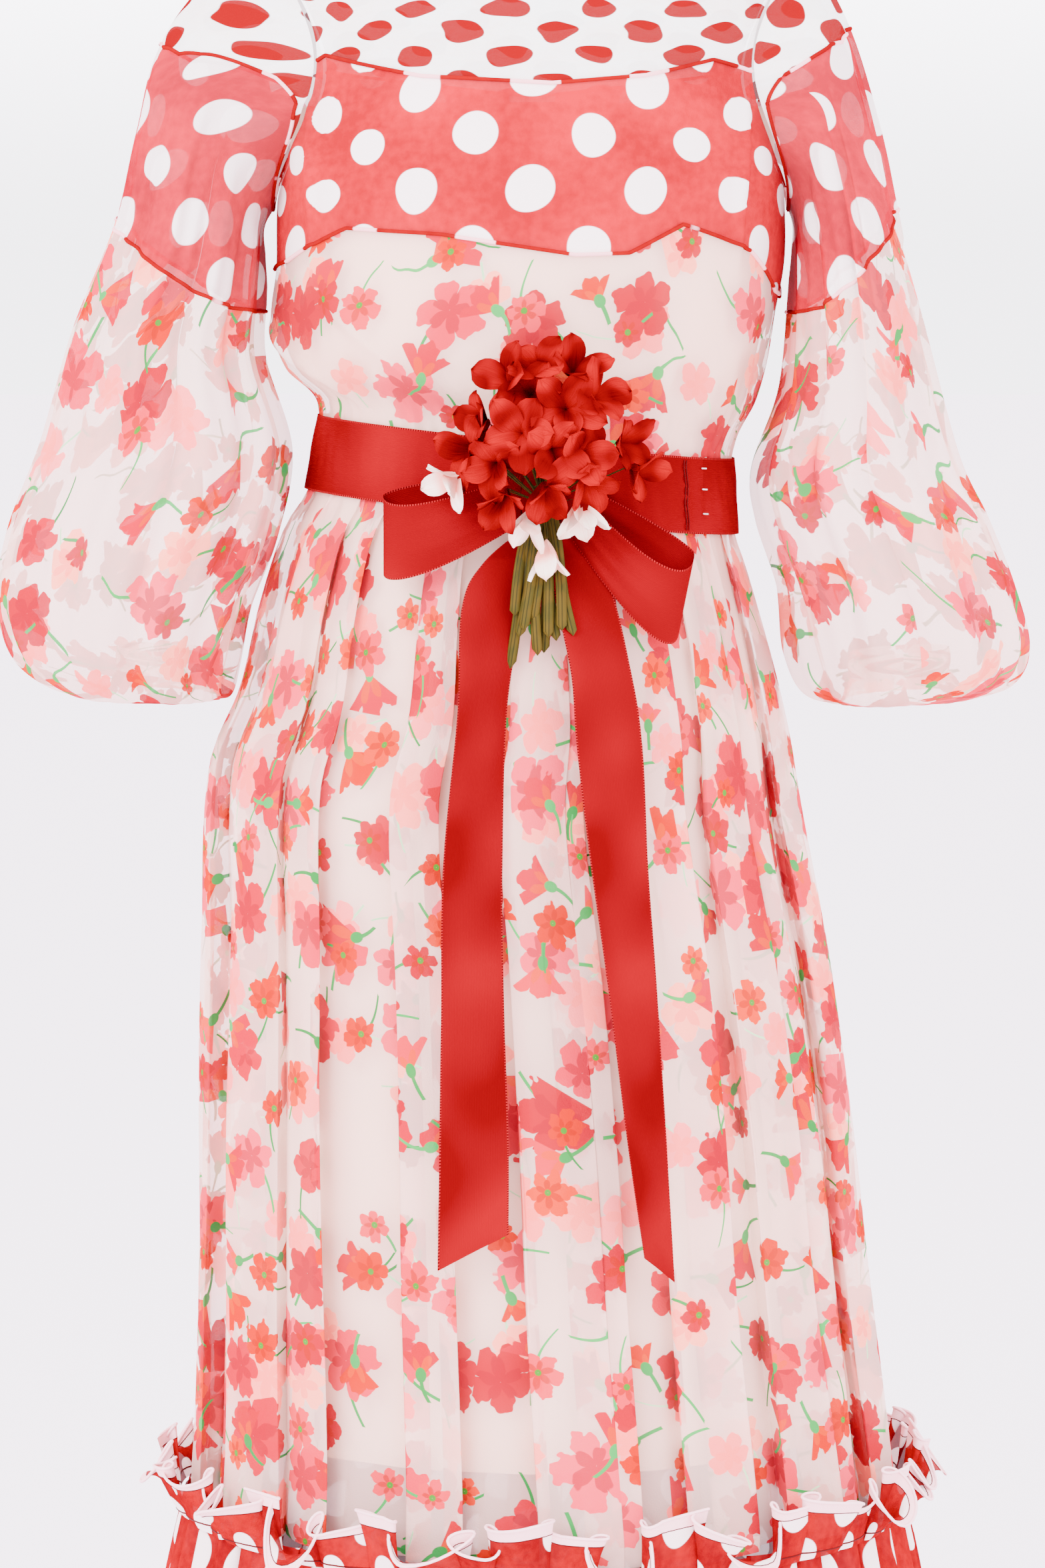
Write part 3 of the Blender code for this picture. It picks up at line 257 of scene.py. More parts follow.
# spots, two tones of the ground, the spots' colour, how opaque ground and spots are, the bound edge
spottedCloths = {
    "whiteDottedChiffon": (yokeSpots, ("FFFFFF", "FFF4F0"), "7C0009", (0.80, 0.97), None),
    "redDottedChiffon": (bandSpots, ("B80A22", "960016"), "FFF0F0", (0.97, 0.92), None),
    # the same cloth on the unlined sleeves, where light comes through it
    "redSheerChiffon": (bandSpots, ("B8102A", "98001E"), "FFF0F0", (0.91, 0.74), None),
    "redFlounceChiffon": (bandSpots, ("98000E", "70000A"), "FFE8E8", (0.97, 0.92), None),
    "redRuffleChiffon": (bandSpots, ("98000E", "70000A"), "FFE8E8", (0.97, 0.92), boundRuffle),
    # a narrow rolled edge, oversewn, with the spots' white where one meets it
    "rolledEdgeRed": (bandSpots, ("880008", "780008"), "FFB4BC", (1.0, 1.0), None),
}
spotted = {name: spottedChiffon(name, *look) for name, look in spottedCloths.items()}

# what most motifs share: seen from the front all round, with no heart and no calyx of their own
openMotif = {"petals": 5, "roundness": 0.50, "scatter": 0.75, "fan": 4.0, "centre": -1.0, "calyx": -1.0}
motifs = {
    "ghost": {"cell": 0.058, "start": (5.5, 3.1), "reach": 0.0170, "waist": 0.58, "ragged": 0.50, "raggedScale": 120.0,
              "crowdScale": 0.7, "clumping": 0.6, "keep": 0.72,
              "stemBend": 30.0, "stemWidth": 0.0018, "stemLength": 1.6},
    "large": {"cell": 0.064, "start": (0.3, 0.7), "reach": 0.0215, "waist": 0.56, "ragged": 0.56, "raggedScale": 130.0,
              "crowdScale": 0.6, "clumping": 0.6, "keep": 0.76, "scatter": 0.72,
              "stemBend": 34.0, "stemWidth": 0.0026, "stemLength": 1.75},
    "small": {"cell": 0.050, "start": (4.1, 9.3), "reach": 0.0125, "waist": 0.62, "ragged": 0.50, "raggedScale": 190.0,
              "crowdScale": 0.7, "clumping": 0.7, "keep": 0.62, "petals": 6, "roundness": 0.55, "centre": 0.0021,
              "stemBend": 48.0, "stemWidth": 0.0024, "stemLength": 1.85},
    "bell": {"cell": 0.054, "start": (7.7, 2.2), "reach": 0.0240, "waist": 0.72, "ragged": 0.36, "raggedScale": 150.0,
             "crowdScale": 0.7, "clumping": 0.5, "keep": 0.74, "petals": 8, "roundness": 0.62, "fan": 0.80,
             "stemBend": 42.0, "stemWidth": 0.0026, "stemLength": 0.72, "calyx": 0.0029},
}
# the ghost blossoms are those of the second layer of the double cloth, seen faintly through the first
# four inks of the petals, the ink of their hearts, two inks of the leaves
inks = {
    "ghost": (("FC7C70", "F87070", "FF8C78", "F86C68"), "F8645C", ("94C890", "A8D49C")),
    "large": (("B80C28", "D0243C", "A80420", "E03C50"), "94001E", ("1B7430", "349A48")),
    "small": (("BC1400", "A80420", "D02C10", "D42C3C"), "9C0E00", ("1B7430", "349A48")),
    "bell": (("B00820", "D02434", "BC1400", "B80828"), "CC3C08", ("1B7430", "349A48")),
}
heartInk = {"colour": "3C7A20", "innerShare": 0.65}


def floralChiffon(name, groundInk, alphas):
    # silk chiffon with a scattered blossom print: the ground lets half of what is behind it through
    material, tree, shader = newMaterial(name, 0.72, Specular_IOR_Level=0.0)
    place = clothPlace(tree)
    colour, inked = groundInk, 0.0
    for kind in ("ghost", "large", "bell", "small"):
        petalInks, innerInk, leafInks = inks[kind]
        motif = addNode(tree, "Group", {"node_tree": motifTrees[kind]}, {0: place}).outputs
        leaf = addNode(tree, "Mix", colourMix, {0: motif["Pick"], 6: leafInks[0], 7: leafInks[1]}).outputs[2]
        greened = addNode(tree, "Mix", colourMix, {0: motif["Green"], 6: colour, 7: leaf})
        petal = addNode(tree, "ValToRGB", {}, {0: motif["Pick"]})
        petal.color_ramp.interpolation = "CONSTANT"
        for k, ink in enumerate(petalInks):
            stop = petal.color_ramp.elements[k] if k < 2 else petal.color_ramp.elements.new(k / 4)
            stop.position = k / 4
            stop.color = hexColour(ink)
        innerShare = addNode(tree, "Math", {"operation": "MULTIPLY"}, {0: motif["Inner"], 1: heartInk["innerShare"]})
        twoTone = addNode(tree, "Mix", colourMix, {0: innerShare.outputs[0], 6: petal.outputs[0], 7: innerInk})
        hearted = addNode(tree, "Mix", colourMix, {0: motif["Centre"], 6: twoTone.outputs[2], 7: heartInk["colour"]})
        painted = addNode(tree, "Mix", colourMix, {0: motif["Petals"], 6: greened.outputs[2], 7: hearted.outputs[2]})
        if kind == "bell":
            # a bell's calyx lies over its petals
            painted = addNode(tree, "Mix", colourMix, {0: motif["Green"], 6: painted.outputs[2], 7: leaf})
        colour = painted.outputs[2]
        both = addNode(tree, "Math", {"operation": "MAXIMUM"}, {0: motif["Petals"], 1: motif["Green"]})
        inked = addNode(tree, "Math", {"operation": "MAXIMUM"}, {0: inked, 1: both.outputs[0]}).outputs[0]
    tree.links.new(colour, shader.inputs["Base Color"])
    opacity = addNode(tree, "MapRange", {}, {0: inked, 3: alphas[0], 4: alphas[1]})
    tree.links.new(opacity.outputs[0], shader.inputs["Alpha"])
    addCrepe(tree, shader, place, crepe)
    return material


motifTrees = {kind: motifGroup(kind + "Motif", {**openMotif, **look}) for kind, look in motifs.items()}
floralCloth = floralChiffon("floralChiffon", "FFD0C4", (0.46, 0.95))


def plainCloth(name, colour, roughness, bumpLook, **settings):
    material, tree, shader = newMaterial(name, roughness, **settings)
    shader.inputs["Base Color"].default_value = hexColour(colour)
    addCrepe(tree, shader, clothPlace(tree), bumpLook)
    return material


# ivory acetate lining: smooth and opaque, a soft glow under the sheer cloth
satinGrain = {"scale": 500.0, "strength": 0.15, "depth": 0.0003}
liningSatin = plainCloth("liningSatin", "FFE2CA", 0.50, satinGrain, Specular_IOR_Level=0.1)

# the satin's two reds: its own deep red and a lighter red of painted highlights, mixed in slow cloudy patches of this
# scale
ribbon = {"width": 0.044, "picotDepth": 0.0012, "picotPitch": 0.0016, "ribPitch": 0.0011, "paintedSheenScale": 13.0,
          "tones": ("5C0006", "7C000E"), "edgeTones": ("380002", "98141C")}


def ribbonSatin():
    # double-faced polyester satin, woven with a picot edge: it has no specular, so its soft wide highlights are painted
    # into its colour as lighter cloudy patches; fine cross rib
    material, tree, shader = newMaterial("redSatinRibbon", 0.36, Specular_IOR_Level=0.0)
    place = clothPlace(tree)
    parts = addNode(tree, "SeparateXYZ", {}, {0: place})
    known = runSteps(tree, {"u": parts.outputs[0], "v": parts.outputs[1]}, (
        ("fromMiddle", "ABSOLUTE", "v"),
        ("intoEdge", "SUBTRACT", "fromMiddle", ribbon["width"] / 2 - ribbon["picotDepth"]),
        ("edgeMask", "MULTIPLY", "intoEdge", 1 / 0.0003),
        ("stitchAngle", "MULTIPLY", "u", math.tau / ribbon["picotPitch"]),
        ("stitchWave", "SINE", "stitchAngle"),
        ("stitchMask", "MULTIPLY_ADD", "stitchWave", 0.5, 0.5),
        ("edgeStitch", "MULTIPLY", "stitchMask", "edgeMask"),
        ("ribAngle", "MULTIPLY", "v", math.tau / ribbon["ribPitch"]),
        ("rib", "SINE", "ribAngle"),
    ))
    # painted highlights: slow noise lightens the red in broad patches, standing in for the satin's sheen
    paintedSheen = addNode(tree, "TexNoise", flatNoise, {"Vector": place, "Scale": ribbon["paintedSheenScale"], "Detail": 1.0})
    glow = addNode(tree, "MapRange", {}, {0: paintedSheen.outputs[0], 1: 0.35, 2: 0.70})
    tone = addNode(tree, "Mix", colourMix, {0: glow.outputs[0], 6: ribbon["tones"][0], 7: ribbon["tones"][1]})
    edgeTone = addNode(tree, "Mix", colourMix,
                       {0: known["stitchMask"], 6: ribbon["edgeTones"][0], 7: ribbon["edgeTones"][1]})
    colour = addNode(tree, "Mix", colourMix, {0: known["edgeMask"], 6: tone.outputs[2], 7: edgeTone.outputs[2]})
    tree.links.new(colour.outputs[2], shader.inputs["Base Color"])
    relief = {0: known["edgeStitch"], 1: 3.0, 2: known["rib"]}
    height = addNode(tree, "Math", {"operation": "MULTIPLY_ADD"}, relief)
    bump = addNode(tree, "Bump", {}, {"Height": height.outputs[0], "Strength": 0.3, "Distance": 0.00012})
    tree.links.new(bump.outputs[0], shader.inputs["Normal"])
    return material


redSatinRibbon = ribbonSatin()


def petalCloth(name, baseAndPaintedRimGlow, vein):
    # stamped polyester petal cloth: matt, faintly veined from base to rim, thin enough to glow at the edge, a glow that
    # is painted: its colour runs from a darker base to a lighter rim
    material, tree, shader = newMaterial(name, 0.62, Specular_IOR_Level=0.0)
    place = clothPlace(tree)
    parts = addNode(tree, "SeparateXYZ", {}, {0: place})
    spread = addNode(tree, "VectorMath", {"operation": "MULTIPLY"}, {0: place, 1: (900.0, 60.0, 1.0)})
    veins = addNode(tree, "TexNoise", flatNoise, {"Vector": spread.outputs[0], "Scale": 1.0, "Detail": 2.0})
    inSpace = addNode(tree, "TexCoord").outputs["Object"]
    clouds = addNode(tree, "TexNoise", {}, {"Vector": inSpace, "Scale": 70.0, "Detail": 0.0})
    shade = addNode(tree, "MapRange", {}, {0: clouds.outputs[0], 1: 0.38, 2: 0.62, 3: 0.020, 4: -0.010})
    deep = addNode(tree, "Math", {"operation": "SUBTRACT"}, {0: parts.outputs[1], 1: shade.outputs[0]})
    # painted glow: the colour grows lighter from the petal's base to its rim
    rim = addNode(tree, "MapRange", {}, {0: deep.outputs[0], 1: -0.010, 2: 0.028, 3: 0.0, 4: 1.0})
    body = addNode(tree, "Mix", colourMix, {0: rim.outputs[0], 6: baseAndPaintedRimGlow[0], 7: baseAndPaintedRimGlow[1]})
    veined = addNode(tree, "MapRange", {}, {0: veins.outputs[0], 1: 0.35, 2: 0.75, 3: 0.0, 4: 0.5})
    colour = addNode(tree, "Mix", colourMix, {0: veined.outputs[0], 6: body.outputs[2], 7: vein})
    tree.links.new(colour.outputs[2], shader.inputs["Base Color"])
    bump = addNode(tree, "Bump", {}, {"Height": veins.outputs[0], "Strength": 0.5, "Distance": 0.0004})
    tree.links.new(bump.outputs[0], shader.inputs["Normal"])
    return material


# each petal cloth: the colour at its base, the lighter colour of painted glow at its rim, and its veins
redPetalCloth = petalCloth("redPetalCloth", ("400003", "90000A"), "640004")
palePetalCloth = petalCloth("palePetalCloth", ("F09C8C", "FFEEE0"), "F4B4A4")


# the paper's greens and fibres, and the near-black of painted shade in its creases
stemInks = {"bottle": "24280E", "olive": "3E300E", "fibre": "4E4014", "crease": "10160A", "creasePitch": 0.0042}


def stemPaper():
    # waxed crepe paper folded flat round wire: olive to bottle green, creased along its length, with painted shade
    # darkening each crease
    material, tree, shader = newMaterial("greenStemPaper", 0.55, Specular_IOR_Level=0.05)
    place = clothPlace(tree)
    parts = addNode(tree, "SeparateXYZ", {}, {0: place})
    known = runSteps(tree, {"u": parts.outputs[0], "v": parts.outputs[1]}, (
        ("creases", "MULTIPLY", "u", 1 / stemInks["creasePitch"]),
        ("crease", "FRACT", "creases"),
        ("creaseReliefAndShadeMask", "MULTIPLY", "crease", 5.0),
    ))
    drawn = addNode(tree, "VectorMath", {"operation": "MULTIPLY"}, {0: place, 1: (700.0, 60.0, 1.0)})
    fibres = addNode(tree, "TexNoise", flatNoise, {"Vector": drawn.outputs[0], "Scale": 1.0, "Detail": 2.0})
    inSpace = addNode(tree, "TexCoord").outputs["Object"]
    shade = addNode(tree, "TexNoise", {}, {"Vector": inSpace, "Scale": 130.0, "Detail": 0.0})
    tone = addNode(tree, "MapRange", {}, {0: shade.outputs[0], 1: 0.4, 2: 0.6})
    olive = addNode(tree, "Mix", colourMix, {0: tone.outputs[0], 6: stemInks["bottle"], 7: stemInks["olive"]})
    paper = addNode(tree, "Mix", colourMix, {0: fibres.outputs[0], 6: olive.outputs[2], 7: stemInks["fibre"]})
    # painted shade: near-black at each crease, fading into the paper
    colour = addNode(tree, "Mix", colourMix, {0: known["creaseReliefAndShadeMask"], 6: stemInks["crease"], 7: paper.outputs[2]})
    tree.links.new(colour.outputs[2], shader.inputs["Base Color"])
    bump = addNode(tree, "Bump", {}, {"Height": known["creaseReliefAndShadeMask"], "Strength": 0.5, "Distance": 0.0005})
    tree.links.new(bump.outputs[0], shader.inputs["Normal"])
    return material


greenStemPaper = stemPaper()
# the frill's bound edge is oversewn white cloth, and the threads are mercerised cotton with a fine twist
oversewn = {"scale": 500.0, "strength": 0.6, "depth": 0.0006}
twist = {"scale": 2000.0, "strength": 0.5, "depth": 0.0002}
rolledEdgeWhite = plainCloth("rolledEdgeWhite", "FFC8D0", 0.7, oversewn, Specular_IOR_Level=0.1)
threadWhite = plainCloth("threadWhite", "F4EEEC", 0.6, twist)
threadRed = plainCloth("threadRed", "4C0002", 0.6, twist, Specular_IOR_Level=0.1)
print("materials made")


def smoothThrough(places, values, place):
    # a smooth curve through rows of values at rising places; values may hold one set for each asked place
    places = np.asarray(places, float)
    values = np.asarray(values, float)
    place = np.clip(np.asarray(place, float), places[0], places[-1])
    count = len(places)
    i = np.clip(np.searchsorted(places, place) - 1, 0, count - 2)
    low = np.maximum(np.arange(count) - 1, 0)
    high = np.minimum(np.arange(count) + 1, count - 1)
    spans = (places[high] - places[low]).reshape(-1, *[1] * (values.ndim - 1))
    slopes = (values[high] - values[low]) / spans
    own = np.arange(place.size) if values.ndim == 3 else None
    pick = (lambda table, k: table[k, own]) if values.ndim == 3 else (lambda table, k: table[k])
    span = (places[i + 1] - places[i])[..., None]
    t = (place - places[i])[..., None] / span
    return ((2 * t**3 - 3 * t**2 + 1) * pick(values, i) + (t**3 - 2 * t**2 + t) * span * pick(slopes, i)
            + (3 * t**2 - 2 * t**3) * pick(values, i + 1) + (t**3 - t**2) * span * pick(slopes, i + 1))


def sectionAt(table, height):
    # the rows of a table of sections, read at any height: all columns but the first
    table = np.array(table)
    return np.moveaxis(smoothThrough(table[:, 0], table, height)[..., 1:], -1, 0)


def ovalPoint(halfWidth, front, back, centre, angle, inset, height):
    depth = np.where(np.cos(angle) > 0, front, back)
    x = centre + (halfWidth - inset) * np.sin(angle)
    return np.stack([x, -(depth - inset) * np.cos(angle), height + 0 * x], axis=-1)


def deselectAll():
    for obj in bpy.context.selected_objects:
        obj.select_set(False)


def clothGrid(name, columns, rows, place, cloth, material, closed=False):
    # a grid primitive whose points place(s, t) moves; cloth(s, t, points) gives the flat cloth's own metres
    deselectAll()
    bpy.ops.mesh.primitive_grid_add(x_subdivisions=columns, y_subdivisions=rows, size=1.0)
    obj = bpy.context.active_object
    obj.name = obj.data.name = name
    mesh = obj.data
    s, t = np.meshgrid(np.linspace(0, 1, columns + 1), np.linspace(0, 1, rows + 1))
    points = place(s, t)
    flat = np.stack(cloth(s, t, points), axis=-1)
    start = np.empty(len(mesh.vertices) * 3, np.float32)
    mesh.vertices.foreach_get("co", start)
    start = start.reshape(-1, 3)
    column = np.rint((start[:, 0] + 0.5) * columns).astype(int)
    row = np.rint((start[:, 1] + 0.5) * rows).astype(int)
    mesh.vertices.foreach_set("co", points[row, column].astype(np.float32).ravel())
    while mesh.uv_layers:
        mesh.uv_layers.remove(mesh.uv_layers[0])
    layer = mesh.uv_layers.new(name="cloth")
    corner = np.empty(len(mesh.loops), np.int32)
    mesh.loops.foreach_get("vertex_index", corner)
    layer.data.foreach_set("uv", flat[row, column][corner].astype(np.float32).ravel())
    mesh.update()
    if closed:
        bpy.ops.object.mode_set(mode="EDIT")
        bpy.ops.mesh.select_all(action="SELECT")
        bpy.ops.mesh.remove_doubles(threshold=0.00001)
        bpy.ops.object.mode_set(mode="OBJECT")
    bpy.ops.object.shade_smooth()
    obj.data.materials.append(material)
    return obj


slotNames = {
    "whiteDottedChiffon": "white_dotted_chiffon", "redDottedChiffon": "red_dotted_chiffon",
    "redSheerChiffon": "red_dotted_chiffon", "redFlounceChiffon": "red_dotted_chiffon",
    "redRuffleChiffon": "red_dotted_chiffon", "floralChiffon": "floral_chiffon", "liningSatin": "lining_satin",
    "redSatinRibbon": "red_satin_ribbon", "redPetalCloth": "red_petal_cloth", "palePetalCloth": "pale_petal_cloth",
}


def finishPiece(obj, slotName, *nodes):
    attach(obj, "root")
    if nodes:
        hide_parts(*nodes)
    return obj


def sewPiece(node, columns, rows, place, cloth, material, closed=False, kind="_cloth"):
    # one panel that takes the place of the solid of its name
    piece = clothGrid(node + kind, columns, rows, place, cloth, material, closed)
    finishPiece(piece, slotNames[material.name], node)


def lengthsAlong(points, axis):
    # running length along the rows (axis 1) or the columns (axis 0) of a grid of points
    steps = np.linalg.norm(np.diff(points, axis=axis), axis=-1)
    lengths = np.cumsum(steps, axis=axis)
    return np.insert(lengths, 0, 0.0, axis=axis)


def woven(baseRow, start=(0.0, 0.0)):
    # cloth metres on a panel: across, the length of one row, the same all the way down; down, its own length
    def cloth(s, t, points):
        row = int(round(baseRow * (points.shape[0] - 1)))
        across = np.repeat(lengthsAlong(points, 1)[row][None], points.shape[0], axis=0)
        across = across - np.interp(0.5, s[0], across[row])
        return across + start[0], lengthsAlong(points, 0) + start[1]
    return cloth


bodice = {
    "waist": -0.362, "slope": -0.105, "tiltStart": -0.270, "tiltFull": -0.333,
    "underarm": -0.207, "shoulder": -0.043, "armholeAngle": math.radians(33), "sideSeam": 0.0024,
    "neck": -0.004, "neckBand": 0.012, "gathers": 5, "gatherRelief": 0.0030,
    # height, front height, back height, half width, front, back, centre
    "sections": (
        (-0.362, -0.362, -0.362, 0.1215, 0.0920, 0.0820, -0.0030),
        (-0.343, -0.343, -0.343, 0.1205, 0.0925, 0.0815, -0.0020),
        (-0.328, -0.328, -0.328, 0.1240, 0.0985, 0.0850, -0.0015),
        (-0.310, -0.310, -0.310, 0.1378, 0.1110, 0.0920, -0.0050),
        (-0.278, -0.278, -0.278, 0.1464, 0.1205, 0.0990, -0.0047),
        (-0.241, -0.241, -0.241, 0.1485, 0.1250, 0.1010, -0.0005),
        (-0.175, -0.175, -0.175, 0.1478, 0.1260, 0.1030, 0.0017),
        (-0.130, -0.131, -0.130, 0.1475, 0.1170, 0.1030, 0.0024),
        (-0.087, -0.096, -0.090, 0.1480, 0.1010, 0.0980, 0.0026),
        (-0.043, -0.062, -0.047, 0.1480, 0.0800, 0.0870, 0.0020),
        (-0.022, -0.037, -0.022, 0.1090, 0.0660, 0.0720, 0.0010),
        (-0.004, -0.017, -0.004, 0.0700, 0.0560, 0.0600, 0.0000)),
    # seams of the spotted band: degrees round the body, height
    "bandTop": ((-90, -0.142), (-70, -0.137), (-53, -0.121), (-25, -0.1345), (4, -0.139), (25, -0.134), (43, -0.124),
                (70, -0.137), (90, -0.146), (125, -0.126), (150, -0.131), (180, -0.139), (210, -0.131), (235, -0.126),
                (270, -0.142)),
    "bandBottom": ((-90, -0.243), (-68, -0.238), (-44, -0.2195), (-20, -0.223), (10, -0.2345), (22, -0.2335),
                   (35, -0.2175), (58, -0.232), (75, -0.255), (90, -0.259), (120, -0.232), (150, -0.221),
                   (180, -0.235), (210, -0.221), (240, -0.232), (270, -0.243)),
    # soft folds: angle and height where each begins and ends, width, relief
    "folds": ((-50, -0.250, -22, -0.325, 0.012, 0.0050), (-78, -0.285, -48, -0.330, 0.012, 0.0045),
              (30, -0.262, 12, -0.325, 0.013, 0.0040), (62, -0.268, 50, -0.330, 0.014, 0.0045),
              (140, -0.255, 165, -0.325, 0.014, 0.0045), (215, -0.258, 195, -0.325, 0.014, 0.0045),
              (108, -0.275, 120, -0.328, 0.013, 0.0040), (250, -0.275, 238, -0.328, 0.013, 0.0040)),
    # creases with one sharp side: angle and height at both ends, width, relief
    "creases": ((-46, -0.262, -15, -0.330, 0.007, 0.0030), (-60, -0.150, -56, -0.232, 0.006, 0.0035),
                (56, -0.150, 54, -0.236, 0.006, 0.0035), (-26, -0.285, -12, -0.330, 0.006, 0.0020),
                (18, -0.290, 8, -0.330, 0.006, 0.0020), (40, -0.285, 33, -0.330, 0.007, 0.0022),
                (-62, -0.300, -50, -0.332, 0.006, 0.0022), (70, -0.296, 64, -0.332, 0.006, 0.0022)),
    "waistGathers": 88, "waistGatherRelief": 0.0011, "waistGatherTop": -0.296, "waistGatherReach": 0.030,
    "yokeGatherLow": -0.115, "yokeGatherReach": 0.080, "fineGatherRelief": 0.0016,
    "slowRelief": 0.0010, "meanRadius": 0.13,
}


def waistTilt(x, height):
    share = (bodice["tiltStart"] - height) / (bodice["tiltStart"] - bodice["tiltFull"])
    return bodice["slope"] * x * np.clip(share, 0, 1)


def degreesRound(angle):
    return (np.degrees(angle) + 90) % 360 - 90


def seamHeight(seam, angle):
    return np.interp(degreesRound(angle), *np.array(seam).T)


def drapeRelief(angle, height):
    degrees = degreesRound(angle)
    relief = 0.0 * angle
    # how steep the sharp side is, and how far up each one starts to swell
    for kind, sharpness, early in (("folds", 1.0, 0.3), ("creases", 0.28, 0.15)):
        for angle0, height0, angle1, height1, width, rise in bodice[kind]:
            along = (height0 - height) / (height0 - height1)
            away = np.radians(degrees - angle0 - (angle1 - angle0) * along) * bodice["meanRadius"]
            steep = np.where(away > 0, width * sharpness, width)
            swell = np.sin(np.pi * np.clip((along + early) / 1.3, 0, 1))
            relief = relief + rise * np.exp(-((away / steep) ** 2)) * swell
    return relief


def bodiceRipple(angle, height):
    # fine gathers drawn in by the belt, and the slow unevenness of hanging chiffon
    atWaist = np.clip((bodice["waistGatherTop"] - height) / bodice["waistGatherReach"], 0, 1)
    fine = np.cos(bodice["waistGathers"] * angle + 3 * np.sin(5 * angle)) * (0.6 + 0.4 * np.sin(11 * angle + 1.0))
    slow = bodice["slowRelief"] * np.sin(7 * angle + 40 * height) * np.sin(60 * height + 2 * angle)
    return bodice["waistGatherRelief"] * atWaist * fine + slow * np.clip((height + 0.35) / 0.03, 0, 1)


def yokeGather(angle, height):
    nearNeck = np.clip((height - bodice["yokeGatherLow"]) / bodice["yokeGatherReach"], 0, 1)
    middle = np.clip((np.abs(np.cos(angle)) - 0.35) / 0.65, 0, 1)
    wave = 0.5 - 0.5 * np.cos(4 * bodice["gathers"] * angle)
    fine = 0.5 - 0.5 * np.cos(52 * angle + 2.0 * np.sin(9 * angle))
    return (bodice["gatherRelief"] * wave + bodice["fineGatherRelief"] * fine) * nearNeck * middle


def bodicePoint(angle, height, inset=0.0, ripple=True):
    height = height + 0 * angle
    frontHeight, backHeight, halfWidth, front, back, centre = sectionAt(bodice["sections"], height)
    side = np.sin(angle) ** 2
    z = height * side + np.where(np.cos(angle) > 0, frontHeight, backHeight) * (1 - side)
    relief = drapeRelief(angle, height) + (bodiceRipple(angle, height) if ripple else 0.0)
    point = ovalPoint(halfWidth, front, back, centre, angle, inset + yokeGather(angle, height) - relief, z)
    point[..., 2] += waistTilt(point[..., 0], height)
    return point


def armholeWidth(height):
    part = np.clip((height - bodice["underarm"]) / (bodice["shoulder"] - bodice["underarm"]), 0, 1)
    return bodice["armholeAngle"] * np.sin(np.pi * part)


def bodicePlace(middle, lowerLine, upperLine):
    # a bodice panel between two lines round the body, ending at the side seams and armholes
    def place(s, t):
        across = 2 * s - 1
        angle = middle + across * np.pi / 2
        for _ in range(12):
            height = lowerLine(angle) + t * (upperLine(angle) - lowerLine(angle))
            angle = middle + across * (np.pi / 2 - armholeWidth(height) - bodice["sideSeam"])
        return bodicePoint(angle, height)
    return place


def level(height):
    return lambda angle: height + 0 * angle


def bandTopLine(angle):
    return seamHeight(bodice["bandTop"], angle)


def bandBottomLine(angle):
    return seamHeight(bodice["bandBottom"], angle)


def localCloth(start=(0.0, 0.0), stretch=(1.0, 1.0)):
    # cloth metres that follow the surface row by row, for cloth that isn't gathered
    def cloth(s, t, points):
        across = lengthsAlong(points, 1)
        middleColumn = points.shape[1] // 2
        across = across - across[:, middleColumn:middleColumn + 1]
        down = lengthsAlong(points, 0) + points[0:1, :, 2] - points[0, middleColumn, 2]
        return across * stretch[0] + start[0], down * stretch[1] + start[1]
    return cloth


def cordAlong(name, path, radius, material, flat, sides=6):
    # a thin round edge or thread along a path, tapered to a point at each end
    path = np.asarray(path, float)
    along = np.gradient(path, axis=0)
    along /= np.linalg.norm(along, axis=1)[:, None]
    side = np.cross(along, np.array([0.0, 0.0, 1.0]) + 0.001)
    side /= np.linalg.norm(side, axis=1)[:, None]
    up = np.cross(side, along)
    ends = np.ones(len(path))
    ends[0] = ends[-1] = 0.02

    def place(s, t):
        i = np.rint(s * (len(path) - 1)).astype(int)
        around = math.tau * t[..., None]
        return path[i] + (ends[i] * radius)[..., None] * (np.cos(around) * side[i] - np.sin(around) * up[i])

    def cloth(s, t, points):
        i = np.rint(s * (len(path) - 1)).astype(int)
        return flat[0][i] + 0 * t, flat[1][i] + 0 * t

    return clothGrid(name, len(path) - 1, sides, place, cloth, material, closed=True)


def joinPieces(name, pieces):
    deselectAll()
    for piece in pieces:
        piece.select_set(True)
    bpy.context.view_layer.objects.active = pieces[0]
    bpy.ops.object.join()
    joined = bpy.context.active_object
    joined.name = joined.data.name = name
    return joined


halves = (("front", 0.0), ("back", math.pi))
sides = (("left", -1), ("right", 1))
panelCounts = {"columns": 200, "yokeRows": 60, "bandRows": 50, "floralRows": 90}
yokeCloth = {"start": (0.012, 0.0), "stretch": (1.1, 2.1)}
# the back is cut from another stretch of the print
bodiceCloth = {"front": {"start": (0.0, 0.0)}, "back": {"start": (0.4, 0.0)}}
yokeTop, waistLine = level(bodice["neck"] - bodice["neckBand"]), level(bodice["waist"])
for side, middle in halves:
    panels = (
        ("yoke_", "yokeRows", bandTopLine, yokeTop, yokeCloth, spotted["whiteDottedChiffon"]),
        ("chest_band_", "bandRows", bandBottomLine, bandTopLine, {}, spotted["redDottedChiffon"]),
        ("bodice_", "floralRows", waistLine, bandBottomLine, bodiceCloth[side], floralCloth))
    for node, rows, lower, upper, look, material in panels:
        place = bodicePlace(middle, lower, upper)
        sewPiece(node + side, panelCounts["columns"], panelCounts[rows], place, localCloth(**look), material)

edging = {"radius": 0.0012, "lift": 0.0008, "points": 260, "sleevePoints": 241,
          # heights on the print of the bands' seams above and below
          "bandDown": ((bandTopLine, 0.098), (bandBottomLine, 0.0)),
          "sleeveDown": (("bandTop", 0.1), ("bandBottom", 0.0))}


